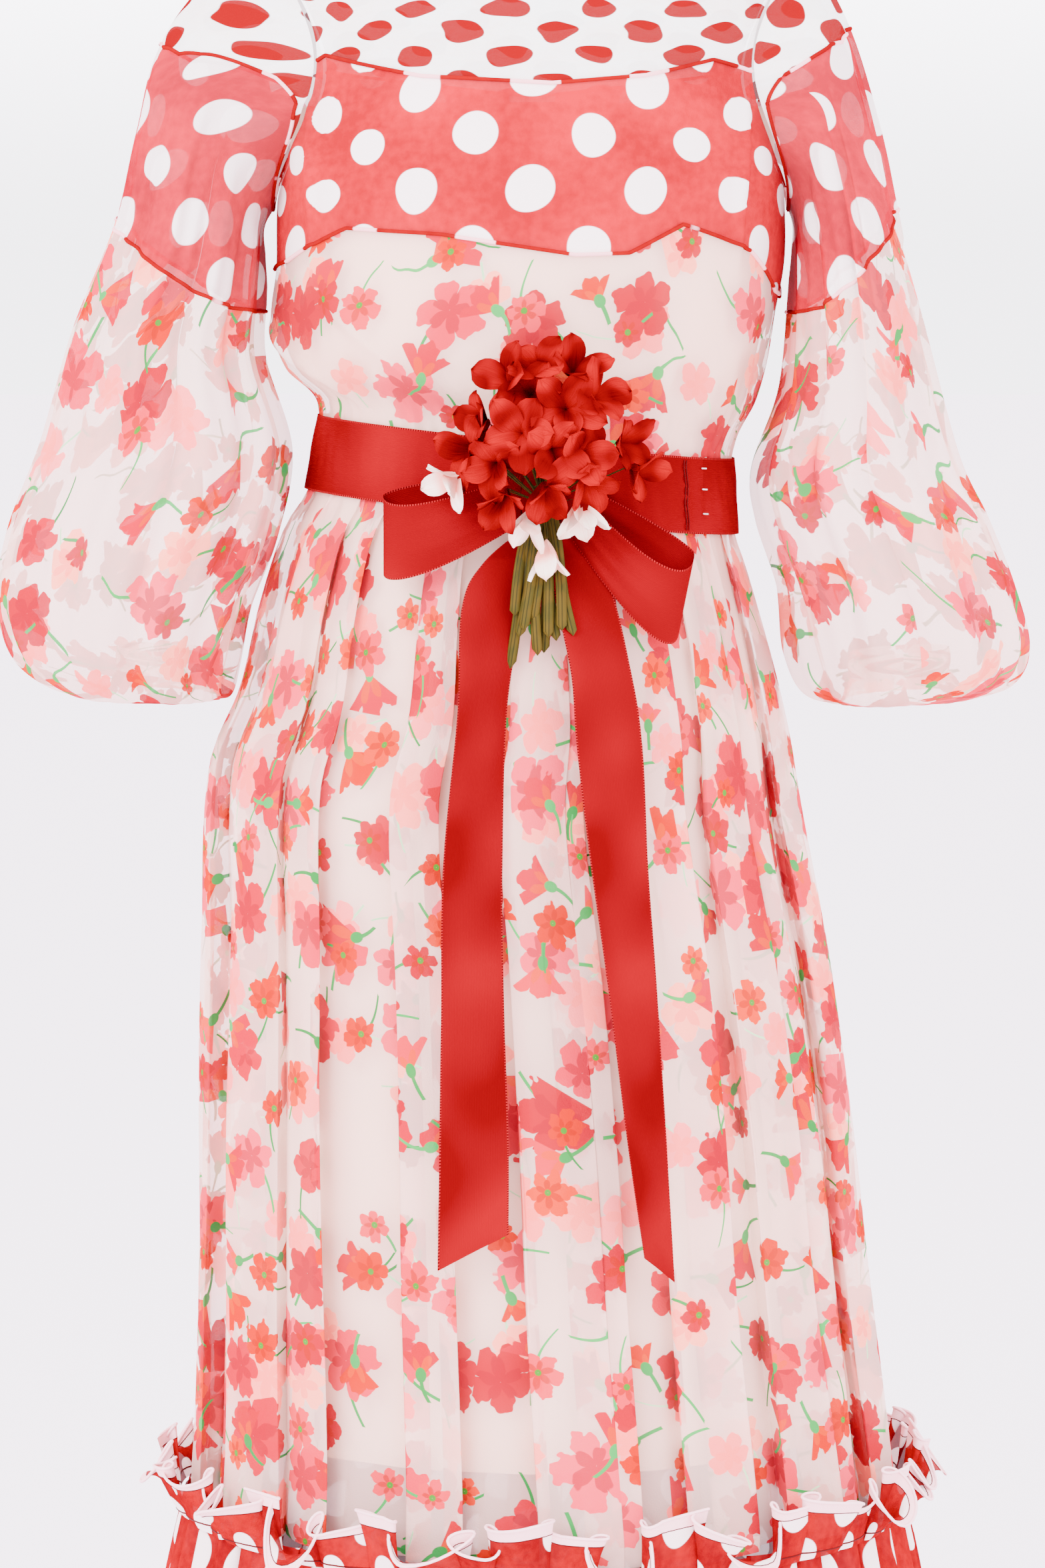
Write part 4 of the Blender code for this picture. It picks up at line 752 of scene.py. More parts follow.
def rolledEdge(path, across, down):
    # a rolled edge on a seam, which carries on the print of the cloth that it ends
    gone = lengthsAlong(path, 0)
    half = len(path) // 2
    flat = (gone - gone[half] + across, path[:, 2] - path[half, 2] + down)
    return cordAlong("rolled", path, edging["radius"], spotted["rolledEdgeRed"], flat)


for side, middle in halves:
    cords = []
    for line, down in edging["bandDown"]:
        s = np.linspace(0.001, 0.999, edging["points"])
        path = bodicePlace(middle, line, line)(s, 0 * s)
        outward = path * (1.0, 1.0, 0.0)
        path = path + edging["lift"] * outward / np.linalg.norm(outward, axis=1)[:, None]
        cords.append(rolledEdge(path, 0.0, down))
    finishPiece(joinPieces("band_edges_" + side, cords), "red_dotted_chiffon")


def neckPlace(s, t):
    angle = s * math.tau - np.pi
    height = bodice["neck"] - bodice["neckBand"] * (1 - t)
    swell = 0.0012 * np.sin(np.pi * t)
    return bodicePoint(angle, height, inset=-swell, ripple=False)


sewPiece("neck_band", 240, 8, neckPlace, localCloth(stretch=(1.6, 1.6)), spotted["whiteDottedChiffon"], closed=True)
print("bodice made")

sleeves = {
    # outer x, outer height, inner x, inner height, half depth, middle
    "left": (
        (0.1500, -0.0430, 0.1500, -0.2070, 0.0600, 0.000), (0.1860, -0.0745, 0.1560, -0.2200, 0.0640, 0.000),
        (0.2165, -0.1163, 0.1565, -0.2350, 0.0680, 0.000), (0.2280, -0.1620, 0.1570, -0.2470, 0.0710, -0.002),
        (0.2395, -0.2150, 0.1575, -0.2620, 0.0740, -0.004), (0.2645, -0.2780, 0.1575, -0.2950, 0.0780, -0.008),
        (0.2836, -0.3420, 0.1420, -0.3480, 0.0820, -0.012), (0.3040, -0.3950, 0.1500, -0.3980, 0.0860, -0.016),
        (0.3105, -0.4388, 0.1655, -0.4400, 0.0860, -0.018), (0.2990, -0.4700, 0.1740, -0.4720, 0.0780, -0.018),
        (0.2720, -0.4890, 0.1785, -0.4900, 0.0600, -0.018), (0.2490, -0.4880, 0.1820, -0.4920, 0.0440, -0.018),
        (0.2420, -0.4760, 0.1825, -0.4800, 0.0315, -0.018)),
    "right": (
        (0.1500, -0.0430, 0.1500, -0.2070, 0.0600, 0.000), (0.1700, -0.0720, 0.1550, -0.2190, 0.0620, 0.000),
        (0.1870, -0.1073, 0.1555, -0.2320, 0.0640, 0.000), (0.2020, -0.1580, 0.1555, -0.2440, 0.0660, -0.002),
        (0.2131, -0.2092, 0.1550, -0.2590, 0.0690, -0.004), (0.2322, -0.2913, 0.1500, -0.3120, 0.0740, -0.008),
        (0.2490, -0.3510, 0.1345, -0.3580, 0.0780, -0.012), (0.2655, -0.3850, 0.1370, -0.3880, 0.0810, -0.016),
        (0.2820, -0.4250, 0.1500, -0.4270, 0.0830, -0.018), (0.2920, -0.4600, 0.1570, -0.4640, 0.0790, -0.018),
        (0.2830, -0.4840, 0.1670, -0.4900, 0.0640, -0.018), (0.2590, -0.4900, 0.1830, -0.4950, 0.0450, -0.018),
        (0.2465, -0.4770, 0.1880, -0.4810, 0.0305, -0.018)),
    # seams of the sleeve's band: degrees round from the outer line by the front, row of the tables above
    "bandTop": ((0, 1.92), (25, 1.86), (45, 1.66), (60, 1.30), (75, 0.85), (90, 0.42), (105, 0.14), (120, 0.10),
                (240, 0.10), (255, 0.14), (270, 0.42), (285, 0.85), (300, 1.30), (315, 1.66), (335, 1.86), (360, 1.92)),
    "bandBottom": ((0, 3.95), (60, 4.15), (120, 4.30), (180, 4.20), (240, 4.30), (300, 4.15), (360, 3.95)),
    "gatherRow": 8.0, "gatherRows": 3.0, "gathers": 6, "gatherRelief": 0.0040,
    "hangingFolds": 9, "hangingRelief": 0.0035, "cuffGathers": 26, "cuffRelief": 0.0013,
    "columns": 180, "cuffGather": 0.0009, "cuffWidth": 0.014,
    "printStart": {"left": 0.13, "right": 0.37}, "foldStart": {"left": 0.7, "right": 2.1},
}
lastRow = len(sleeves["left"]) - 1


def armholePoint(sign, angle):
    part = (1 + np.cos(angle)) / 2
    height = bodice["underarm"] + part * (bodice["shoulder"] - bodice["underarm"])
    forward = np.copysign(bodice["armholeAngle"] * np.sin(np.pi * part), np.sin(angle))
    return bodicePoint(sign * (np.pi / 2 - forward), height, inset=-0.0017, ripple=False)


def sleevePoint(side, angle, row):
    sign = dict(sides)[side]
    shape = angle.shape
    angle, row = angle.ravel(), (row + 0 * angle).ravel()
    places = []
    for outer, outerHeight, inner, innerHeight, depth, middle in sleeves[side]:
        top = np.array([sign * outer, middle, outerHeight])
        low = np.array([sign * inner, middle, innerHeight])
        ring = (top + low) / 2 + (top - low) / 2 * np.cos(angle)[:, None]
        ring[:, 1] -= depth * np.sin(angle)
        places.append(ring)
    places[0] = armholePoint(sign, angle)
    point = smoothThrough(range(len(places)), np.array(places), row)
    last = sleeves[side][-1]
    axis = np.stack([0 * row + sign * (last[0] + last[2]) / 2, 0 * row + last[5], point[:, 2]], axis=1)
    outward = point - axis
    outward /= np.linalg.norm(outward, axis=1)[:, None]
    gathered = np.clip((row - sleeves["gatherRow"]) / sleeves["gatherRows"], 0, 1)
    pull = sleeves["gatherRelief"] * np.sin(np.pi * gathered) * np.cos(sleeves["gathers"] * angle)
    hanging = np.clip((row - 0.5) / 3.0, 0, 1) * np.clip((11.0 - row) / 2.0, 0, 1)
    seed = sleeves["foldStart"][side]
    folds = np.cos(sleeves["hangingFolds"] * angle + seed + 0.9 * np.sin(2 * angle + row * 0.25))
    folds = folds + 0.5 * np.cos(2.3 * sleeves["hangingFolds"] * angle + 2 * seed + 0.35 * row)
    atCuff = np.clip((row - 9.0) / 2.0, 0, 1)
    cuff = sleeves["cuffRelief"] * atCuff * np.cos(sleeves["cuffGathers"] * angle)
    point += outward * (pull + sleeves["hangingRelief"] * hanging * folds + cuff)[:, None]
    return point.reshape(*shape, 3)


def sleevePlace(side, upper, lower):
    def place(s, t):
        angle = -dict(sides)[side] * (s * math.tau - np.pi / 2)
        degrees = np.degrees(angle) % 360
        first, last = upper(degrees), lower(degrees)
        return sleevePoint(side, angle, last + t * (first - last))
    return place


def seamRow(name):
    return lambda degrees: np.interp(degrees, *np.array(sleeves[name]).T)


# seams above and below, rows, stretch of the print and cloth
sleeveTiers = {
    "top": (lambda degrees: 0 * degrees, seamRow("bandTop"), 40, (1.0, 1.35), spotted["whiteDottedChiffon"]),
    "band": (seamRow("bandTop"), seamRow("bandBottom"), 48, (1.0, 1.0), spotted["redSheerChiffon"]),
    "balloon": (seamRow("bandBottom"), lambda degrees: lastRow + 0 * degrees, 110, (1.0, 1.0), floralCloth),
}
for side, sign in sides:
    printStart = sleeves["printStart"][side]
    for tier, (upper, lower, rows, stretch, material) in sleeveTiers.items():
        cloth = localCloth(start=(printStart, 0.0), stretch=stretch)
        place = sleevePlace(side, upper, lower)
        sewPiece("sleeve_" + tier + "_" + side, sleeves["columns"], rows, place, cloth, material, closed=True)
    cords = []
    for line, down in edging["sleeveDown"]:
        s = np.linspace(0, 1, edging["sleevePoints"])
        path = sleevePlace(side, seamRow(line), seamRow(line))(s, 0 * s)
        cords.append(rolledEdge(path, printStart, down))
    finishPiece(joinPieces("sleeve_edges_" + side, cords), "red_dotted_chiffon")


def cuffPlace(side, sign):
    outer, outerHeight, inner, innerHeight, depth, middle = sleeves[side][-1]

    def place(s, t):
        angle = -sign * (s * math.tau - np.pi / 2)
        gather = sleeves["cuffGather"] * np.cos(60 * angle) * np.sin(np.pi * t)
        x = sign * ((outer + inner) / 2 + ((outer - inner) / 2 + gather) * np.cos(angle))
        rim = (outerHeight + innerHeight) / 2 + (outerHeight - innerHeight) / 2 * np.cos(angle)
        y = middle - (depth + gather) * np.sin(angle)
        return np.stack([x, y, rim + 0.0005 + sleeves["cuffWidth"] * t], axis=-1)
    return place


cuffCloth = localCloth(stretch=(1.8, 1.0))
for side, sign in sides:
    sewPiece("sleeve_cuff_" + side, 240, 8, cuffPlace(side, sign), cuffCloth, floralCloth, closed=True)
print("sleeves made")

skirt = {
    "top": -0.362, "bottom": -0.970, "frontLift": -0.004, "hem": -1.400,
    # height, half width, front, back, centre, fold depth
    "sections": (
        (-0.9570, 0.2125, 0.1750, 0.1810, 0.0090, 0.0150), (-0.9264, 0.2095, 0.1720, 0.1780, 0.0078, 0.0160),
        (-0.8302, 0.2023, 0.1650, 0.1700, 0.0024, 0.0165), (-0.7347, 0.1964, 0.1580, 0.1620, -0.0019, 0.0160),
        (-0.6400, 0.1872, 0.1500, 0.1540, -0.0075, 0.0145), (-0.5460, 0.1755, 0.1380, 0.1420, -0.0145, 0.0120),
        (-0.4993, 0.1625, 0.1290, 0.1320, -0.0090, 0.0100), (-0.4528, 0.1515, 0.1170, 0.1180, -0.0085, 0.0080),
        (-0.4064, 0.1371, 0.1035, 0.0980, -0.0075, 0.0055), (-0.384, 0.1262, 0.0960, 0.0880, -0.0045, 0.0025),
        (-0.362, 0.1215, 0.0920, 0.0820, -0.0030, 0.0010)),
    "flounceSections": (
        (-1.4000, 0.2860, 0.2460, 0.2520, 0.0030, 0.0240), (-1.1800, 0.2550, 0.2170, 0.2230, 0.0060, 0.0190),
        (-1.0400, 0.2320, 0.1950, 0.2010, 0.0085, 0.0150), (-0.9800, 0.2190, 0.1820, 0.1880, 0.0090, 0.0085),
        (-0.9570, 0.2125, 0.1750, 0.1810, 0.0090, 0.0030)),
    # fold edges round each half in degrees, which side lies on top there (1: the left one), and the overlap
    "frontEdges": (-90, -75, -59.4, -48.5, -40.1, -20.4, -14.4, 0.2, 8.9, 13.75, 24.8, 33, 42.9, 51.6, 58.4, 68.7,
                   80, 90),
    "frontTops": (1, -1, 1, 1, -1, 1, -1, 1, 1, -1, 1, -1, 1, 1, -1, 1),
    "frontLaps": (3.0, 5.5, 3.5, 6.5, 2.5, 4.5, 2.0, 5.5, 2.2, 3.0, 6.0, 2.5, 4.5, 2.0, 5.0, 3.0),
    "backEdges": (-90, -78, -66, -52, -44, -33, -20, -11, 0, 12, 21, 31, 44, 53, 63, 76, 90),
    "backTops": (1, -1, 1, -1, 1, 1, -1, 1, -1, 1, -1, 1, -1, 1, -1),
    "backLaps": (4.0, 5.0, 3.5, 5.5, 2.5, 4.5, 3.0, 5.5, 2.5, 5.0, 3.0, 5.5, 2.5, 4.5, 3.0),
    # where the grid's columns lie along a panel and along the cloth that turns back under its fold
    "panelColumns": (0, 0.012, 0.05, 0.14, 0.26, 0.38, 0.50, 0.62, 0.74, 0.86, 0.95, 0.988, 1),
    "underColumns": (0.05, 0.22, 0.5, 0.78, 0.95, 1),
    "rows": 64, "fineGathers": 84, "fineRelief": 0.0010, "slack": 0.0016,
    # where on the print each half is cut, and its reach to the side seams, just short of the other half
    "printStart": {"front": 0.0, "back": 1.3}, "halfShare": 0.9994,
}


def foldPlace(crests, leans, s, overlap):
    # across a pleated half tube: the angle from its middle, and the depth, 0 on a crest, 1 in a trough
    crests, leans = np.radians(np.array(crests, float)), np.array(leans)
    place = np.clip(s * (len(crests) - 1), 0, len(crests) - 1.000001)
    k = place.astype(int)
    p = place - k
    width = crests[k + 1] - crests[k]
    trough = (1 - np.cos(math.tau * p)) / 2
    own = 0.78 + 0.22 * np.sin(1.9 * k + 0.6)
    across = p + overlap * np.sin(math.tau * p) / math.tau + leans[k] * trough
    return crests[k] + width * across, trough * own, place


def pleatPlace(edges, tops, laps, s, lapShare):
    # across a knife-pleated half tube, along the cloth: the angle from its middle, and the depth, 0 outermost
    edges = np.radians(np.array(edges, float))
    count = len(edges) - 1
    top = np.array((0, *tops, 0))
    lap = np.radians(np.array((0.0, *laps, 0.0)))
    knots = np.array(skirt["panelColumns"] + tuple(1 + u for u in skirt["underColumns"]))
    step = np.rint(s * count * (len(knots) - 1)).astype(int)
    k = np.minimum(step // (len(knots) - 1), count - 1)
    q = knots[step - k * (len(knots) - 1)]
    ended = k == count - 1
    q = np.where(ended, np.interp(step - k * (len(knots) - 1), (0, len(knots) - 1), (0, 1)), q)
    under = np.clip(q - 1, 0, 1)
    q = np.clip(q, 0, 1)
    reach = lap * 0.5

    def turning(j, first):
        # the panel's fold edge before (first) and after the turn at edge j
        offset = reach[j] * lapShare * (1 if first else -1)
        level = np.where(top[j] == 0, 0.5, np.where((top[j] > 0) == first, 0.0, 1.0))
        return edges[j] + offset, level
    fromAngle, fromLevel = turning(k, False)
    toAngle, toLevel = turning(k + 1, True)
    nextAngle, nextLevel = turning(k + 1, False)
    eased = np.where(fromLevel > toLevel, 1 - (1 - q) ** 1.7, q**1.7)
    bow = np.sin(np.pi * q) * np.where((fromLevel > 0.6) & (toLevel > 0.6), -0.35, -0.16)
    depth = fromLevel + (toLevel - fromLevel) * eased + bow
    angle = fromAngle + (toAngle - fromAngle) * q
    depth = np.where(under > 0, toLevel + (nextLevel - toLevel) * under, depth)
    angle = np.where(under > 0, toAngle + (nextAngle - toAngle) * under, angle)
    return angle, depth, k + q + under


def headerLift(angle):
    return skirt["frontLift"] * np.clip(np.cos(angle), 0, None) ** 2


def skirtPlace(side, middle):
    edges, tops, laps = skirt[side + "Edges"], skirt[side + "Tops"], skirt[side + "Laps"]

    def place(s, t):
        fraction = np.clip(1 - t, 0.0009, 0.9991)
        height = skirt["top"] + fraction * (skirt["bottom"] - skirt["top"])
        hanging = np.clip(fraction / 0.30, 0, 1)
        angle, depthShare, fold = pleatPlace(edges, tops, laps, s, 0.75 + 0.25 * hanging)
        inside = np.clip(1.6 * np.minimum(s, 1 - s) / 0.1, 0, 1)
        sway = 0.011 * np.sin(3.3 * fraction + 1.3 * fold) * fraction * inside
        halfWidth, front, back, centre, depth = sectionAt(skirt["sections"], height)
        gather = np.clip(1 - fraction / 0.16, 0, 1)
        ripple = 0.5 - 0.5 * np.cos(skirt["fineGathers"] * angle + 2 * np.sin(7 * angle))
        slack = skirt["slack"] * hanging * np.sin(9 * fraction + 2.1 * fold) * np.sin(5.0 * angle + 3 * fraction)
        inset = depth * np.clip(depthShare, -0.2, 1.1) + skirt["fineRelief"] * gather * ripple + slack
        around = middle + (angle + sway) * skirt["halfShare"]
        point = ovalPoint(halfWidth, front, back, centre, around, inset, height)
        point[..., 2] += (1 - fraction) * bodice["slope"] * point[..., 0] + fraction * headerLift(middle + angle)
        return point
    return place


for side, middle in halves:
    perPleat = len(skirt["panelColumns"]) - 1 + len(skirt["underColumns"])
    columns = (len(skirt[side + "Edges"]) - 1) * perPleat
    cloth = woven(0.35, start=(skirt["printStart"][side], 0.0))
    sewPiece("skirt_" + side, columns, skirt["rows"], skirtPlace(side, middle), cloth, floralCloth)

flounce = {"waves": 24, "rows": 40, "overlap": 1.25, "columnsAFold": 14, "waveStart": {"front": 1.3, "back": 0.4}}
header = {"waves": 25, "above": 0.030, "below": 0.007, "depth": 0.020, "sewnDepth": 0.003, "seat": 0.0011,
          "droop": 0.020, "rows": 18, "columnsAFold": 24, "waveStart": {"front": 2.1, "back": 0.9},
          # its bound edge and two rows of stitches: how high up the strip, half width, thread
          "edges": ((1.0, 0.0009, rolledEdgeWhite), (0.80, 0.0003, threadRed), (0.12, 0.0005, threadRed))}


def waveTable(waves, uneven, start):
    widths = np.array([1 + uneven * math.sin(2.4 * k + start) for k in range(waves)])
    crests = np.insert(np.cumsum(widths), 0, 0.0) / widths.sum() * 180 - 90
    leans = [0.24 * math.sin(3.7 * k + start) for k in range(waves)]
    return crests, leans


def flouncePlace(side, middle):
    crests, leans = waveTable(flounce["waves"], 0.25, flounce["waveStart"][side])

    def place(s, t):
        height = skirt["bottom"] - 0.0005 + (1 - t) * (skirt["hem"] - skirt["bottom"] + 0.0005)
        angle, trough, fold = foldPlace(crests, leans, s, flounce["overlap"])
        halfWidth, front, back, centre, depth = sectionAt(skirt["flounceSections"], height)
        sway = 0.012 * np.sin(3.0 * (1 - t) + 2.3 * fold) * (1 - t) * np.sin(np.pi * s) ** 0.5
        around = middle + (angle + sway) * skirt["halfShare"]
        point = ovalPoint(halfWidth, front, back, centre, around, depth * trough, height)
        hanging = (height - skirt["hem"]) / (skirt["bottom"] - skirt["hem"])
        point[..., 2] += headerLift(middle + angle) * hanging
        return point
    return place


def headerPlace(side, middle):
    crests, leans = waveTable(header["waves"], 0.55, header["waveStart"][side])
    seam = skirt["bottom"] - header["below"]

    def place(s, t):
        angle, trough, fold = foldPlace(crests, [1.3 * lean for lean in leans], s, 1.0 + 1.35 * t**1.5)
        halfWidth, front, back, centre, _ = sectionAt(skirt["flounceSections"], seam + 0 * s)
        base = ovalPoint(halfWidth, front, back, centre, middle + angle * skirt["halfShare"], 0.0, 0 * s)
        own = 0.72 + 0.42 * np.sin(2.7 * fold + 1.1)
        depth = header["sewnDepth"] + (header["depth"] * own - header["sewnDepth"]) * t**0.8
        out = header["seat"] + depth * (1 - trough) + 0.002 * t * (1 + np.sin(1.3 * fold))
        around = middle + angle
        point = base + np.stack([np.sin(around), -np.cos(around), 0 * s], axis=-1) * out[..., None]
        # the edge falls forwards on each wave and stands up between them
        lip = 0.95 + 0.90 * np.sin(1.9 * fold + 0.5)
        fall = header["droop"] * lip * (1 - trough) ** 1.2 * own * t**2 - 0.0050 * np.sin(2.1 * fold + 1.0) * t
        point[..., 2] = seam + headerLift(around) + t * (header["above"] + header["below"]) - fall
        return point
    return place


def frillCloth(s, t, points):
    across, _ = woven(1.0)(s, t, points)
    return across, t * (header["above"] + header["below"])


for side, middle in halves:
    columns = flounce["waves"] * flounce["columnsAFold"]
    place = flouncePlace(side, middle)
    cloth = woven(0.5, start=(0.0, 0.01))
    sewPiece("flounce_" + side, columns, flounce["rows"], place, cloth, spotted["redFlounceChiffon"])
    columns = header["waves"] * header["columnsAFold"]
    place = headerPlace(side, middle)
    sewPiece("header_ruffle_" + side, columns, header["rows"], place, frillCloth, spotted["redRuffleChiffon"])
    s = np.linspace(0.0005, 0.9995, columns + 1)
    cords = []
    for height, radius, material in header["edges"]:
        path = place(s, height + 0 * s)
        gone = lengthsAlong(path, 0)
        cords.append(cordAlong("frillEdge", path, radius, material, (gone, 0 * gone)))
    finishPiece(joinPieces("frill_edges_" + side, cords), "red_dotted_chiffon")
print("skirt, flounce and frill made")

lining = {"top": -0.150, "hem": -0.925, "columns": 120, "rows": 40}


def bodiceLiningPlace(s, t):
    angle = s * math.tau - np.pi
    height = bodice["waist"] + 0.00015 + t * (lining["top"] - bodice["waist"]) + 0 * s
    _, _, halfWidth, front, back, centre = sectionAt(bodice["sections"], height)
    inset = 0.0024 + 0.0041 * np.clip(t / 0.15, 0, 1)
    point = ovalPoint(halfWidth, front, back, centre, angle, inset, height)
    point[..., 2] += waistTilt(point[..., 0], height)
    return point


def skirtLiningPlace(s, t):
    angle = s * math.tau - np.pi
    fraction = 1 - t
    height = skirt["top"] + fraction * (lining["hem"] - skirt["top"]) + 0 * s
    halfWidth, front, back, centre, depth = sectionAt(skirt["sections"], height)
    waves = 0.5 + 0.5 * np.sin(17 * angle + 1.5 * np.sin(4 * fraction))
    inset = 1.05 * depth + 0.0012 + 0.0040 * np.clip(fraction / 0.10, 0, 1)
    inset = inset + 0.0022 * waves * np.clip(fraction / 0.2, 0, 1)
    point = ovalPoint(halfWidth, front, back, centre, angle, inset, height)
    point[..., 2] += (1 - fraction) * bodice["slope"] * point[..., 0]
    return point


for node, place in (("bodice_lining", bodiceLiningPlace), ("skirt_lining", skirtLiningPlace)):
    piece = clothGrid(node + "_cloth", lining["columns"], lining["rows"], place, localCloth(), liningSatin, closed=True)
    tiers = ("upper_", "middle_", "lower_") if node == "skirt_lining" else ("",)
    replaced = [node + "_" + tier + side for tier in tiers for side in ("front", "back")]
    finishPiece(piece, "lining_satin", *replaced)
print("linings made")

belt = {"seat": 0.0018, "columns": 300, "rows": 10, "endAngles": (math.radians(14), math.radians(55)),
        "endSeat": 0.0015, "wrinkle": 0.0006,
        # the seam across its lapped end: radians in from the end, and the puckers along it
        "seamIn": 0.139, "puckerDepth": 0.0006, "puckerPitch": 0.0068, "puckerReach": 0.022,
        # the two rows of its thread, and the bars beside it: radians either side, height reached, how far out, radius
        "rowApart": 0.008, "rowRise": 0.0205, "rowOut": 0.0024, "rowRadius": 0.00035,
        "barHeights": (0.016, 0.004, -0.010), "barReach": (0.030, 0.012), "barOut": 0.0030, "barRadius": 0.00045}


def beltPoint(angle, rise, out=0.0):
    upper = sectionAt(bodice["sections"], bodice["waist"] + ribbon["width"] / 2 + 0 * angle)
    lower = sectionAt(skirt["sections"], skirt["top"] - ribbon["width"] / 2 + 0 * angle)
    top = ovalPoint(*upper[2:], angle, -belt["seat"] - out, 0.0 * angle)
    bottom = ovalPoint(*lower[:4], angle, -belt["seat"] - out, 0.0 * angle)
    share = (rise / ribbon["width"] + 0.5)[..., None]
    point = bottom + (top - bottom) * share
    point[..., 2] = bodice["waist"] + bodice["slope"] * point[..., 0] + rise
    return point


def beltPlace(first, last, out, pucker=0.0):
    def place(s, t):
        angle = first + s * (last - first)
        nearSeam = np.exp(-((last - belt["seamIn"] - angle) / belt["puckerReach"]) ** 2)
        ridges = pucker * nearSeam * np.sin(math.tau * t * ribbon["width"] / belt["puckerPitch"] + 9 * angle)
        wrinkle = np.sin(23 * angle + 9 * t) * np.sin(3 * angle + 1) + 0.5 * np.sin(61 * angle + 4 * t)
        wrinkle = belt["wrinkle"] * wrinkle * np.sin(np.pi * t)
        return beltPoint(angle, (t - 0.5) * ribbon["width"], out + wrinkle + ridges)
    return place


def ribbonCloth(s, t, points):
    along = lengthsAlong(points, 1)
    return along[points.shape[0] // 2][None] + 0 * t, (t - 0.5) * ribbon["width"] + 0 * s


def ribbonPiece(node, columns, rows, place, closed=False):
    sewPiece(node, columns, rows, place, ribbonCloth, redSatinRibbon, closed, kind="_ribbon")


ribbonPiece("belt", belt["columns"], belt["rows"], beltPlace(-np.pi, np.pi, 0.0), closed=True)
ribbonPiece("belt_end", 90, 48, beltPlace(*belt["endAngles"], belt["endSeat"], belt["puckerDepth"]))

bow = {"knot": (0.0064, -0.1038, -0.3720), "knotSize": (0.022, 0.009, 0.036), "rootHalf": 0.013, "rootGap": 0.0026,
       # reach sideways, drop, lean of its width, sag of its front, turn of its creases
       "loops": {"left": (0.078, 0.020, 0.0, 0.007, 2.0), "right": (0.0715, 0.052, 0.20, 0.017, 0.5)},
       "tailSeat": 0.0085, "tailSlant": 0.020}
# ribbon tails: height, middle, width and turn about the length, in degrees
tails = {
    "left": ((-0.3905, 0.0005, 0.014, 0), (-0.4080, -0.0120, 0.030, 8), (-0.4300, -0.0205, 0.037, 20),
             (-0.4850, -0.0262, 0.040, 46), (-0.5750, -0.0318, 0.040, 34), (-0.6600, -0.0318, 0.040, 28),
             (-0.7300, -0.0312, 0.040, 14), (-0.7920, -0.0318, 0.040, 4)),
    "right": ((-0.3905, 0.0125, 0.012, 0), (-0.4100, 0.0260, 0.030, 8), (-0.4640, 0.0395, 0.040, 32),
              (-0.5090, 0.0450, 0.040, 22), (-0.5750, 0.0505, 0.040, 36), (-0.6400, 0.0575, 0.040, 46),
              (-0.7290, 0.0660, 0.040, 56), (-0.7950, 0.0730, 0.034, 58)),
}


def loopPlace(side, sign):
    reach, drop, lean, frontSag, crease = bow["loops"][side]

    def place(s, t):
        along = np.sin(np.pi * s)
        x = bow["knot"][0] + sign * (bow["knotSize"][0] / 2 + 0.0003 + reach * along)
        behind = s < 0.5
        gap = np.cos(np.pi * s)
        y = bow["knot"][1] + bow["rootGap"] * gap + np.where(behind, 0.004, 0.014) * np.sin(math.tau * s)
        pinch = (1 - along) * np.clip(8 * np.minimum(s, 1 - s), 0, 1)
        y = y + 0.0022 * pinch * np.cos(20 * t + crease) + 0.0012 * np.sin(9 * s + 5 * t) * along
        sag = np.where(behind, 0.003, frontSag) * np.sin(math.tau * s)
        z = bow["knot"][2] - drop * along + sag
        half = bow["rootHalf"] + (ribbon["width"] / 2 - bow["rootHalf"]) * along**0.7
        tilt = np.stack([lean * along, 0 * s, 1 + 0 * s], axis=-1)
        tilt /= np.linalg.norm(tilt, axis=-1)[..., None]
        return np.stack([x, y, z], axis=-1) + tilt * (half * (2 * t - 1))[..., None]
    return place


def tailPlace(side):
    table = np.array(tails[side])

    def place(s, t):
        # s runs down the tail, t across it
        values = smoothThrough(range(len(table)), table, s * (len(table) - 1))
        height, middle, width, turn = np.moveaxis(values, -1, 0)
        turn = np.radians(turn)
        slant = bow["tailSlant"] * np.clip(s - 0.86, 0, None) / 0.14
        height = height - slant * (0.5 - t if side == "left" else t - 0.2)
        shift = (t - 0.5) * width
        underBelt = np.minimum(height, skirt["top"] - ribbon["width"] / 2)
        halfWidth, front, _, centre, _ = sectionAt(skirt["sections"], underBelt)
        reach = (middle - centre) / halfWidth
        rest = -front * np.sqrt(1 - reach**2) - bow["tailSeat"] - width / 2 * np.sin(turn)
        loose = np.clip(s / 0.12, 0, 1)
        root = bow["knot"][1] - 0.001
        y = root + (np.minimum(rest, root) - root) * loose
        curl = 0.0012 * np.sin(10 * s + 1.0) * np.cos(np.pi * (t - 0.5))
        return np.stack([middle + shift * np.cos(turn), y + shift * np.sin(turn) - curl, height], axis=-1)
    return place


for side, sign in sides:
    ribbonPiece("bow_loop_" + side, 96, 10, loopPlace(side, sign))
    ribbonPiece("bow_tail_" + side, 160, 10, tailPlace(side))


def knotPlace(s, t):
    # a soft wrapped band of ribbon, drawn in at its middle
    around = s * math.tau
    squared = [np.sign(turn) * np.abs(turn) ** 0.8 for turn in (np.sin(around), -np.cos(around))]
    close = np.sin(np.pi * np.clip(t, 0.0, 1.0)) ** 0.35
    crease = 1 + 0.10 * np.sin(9 * around) * np.sin(np.pi * t)
    x = bow["knot"][0] + bow["knotSize"][0] / 2 * squared[0] * close * crease
    y = bow["knot"][1] + bow["knotSize"][1] / 2 * squared[1] * close
    z = bow["knot"][2] + bow["knotSize"][2] / 2 * (2 * t - 1)
    return np.stack([x, y, z], axis=-1)


ribbonPiece("bow_knot", 64, 24, knotPlace, closed=True)
print("belt and bow made")

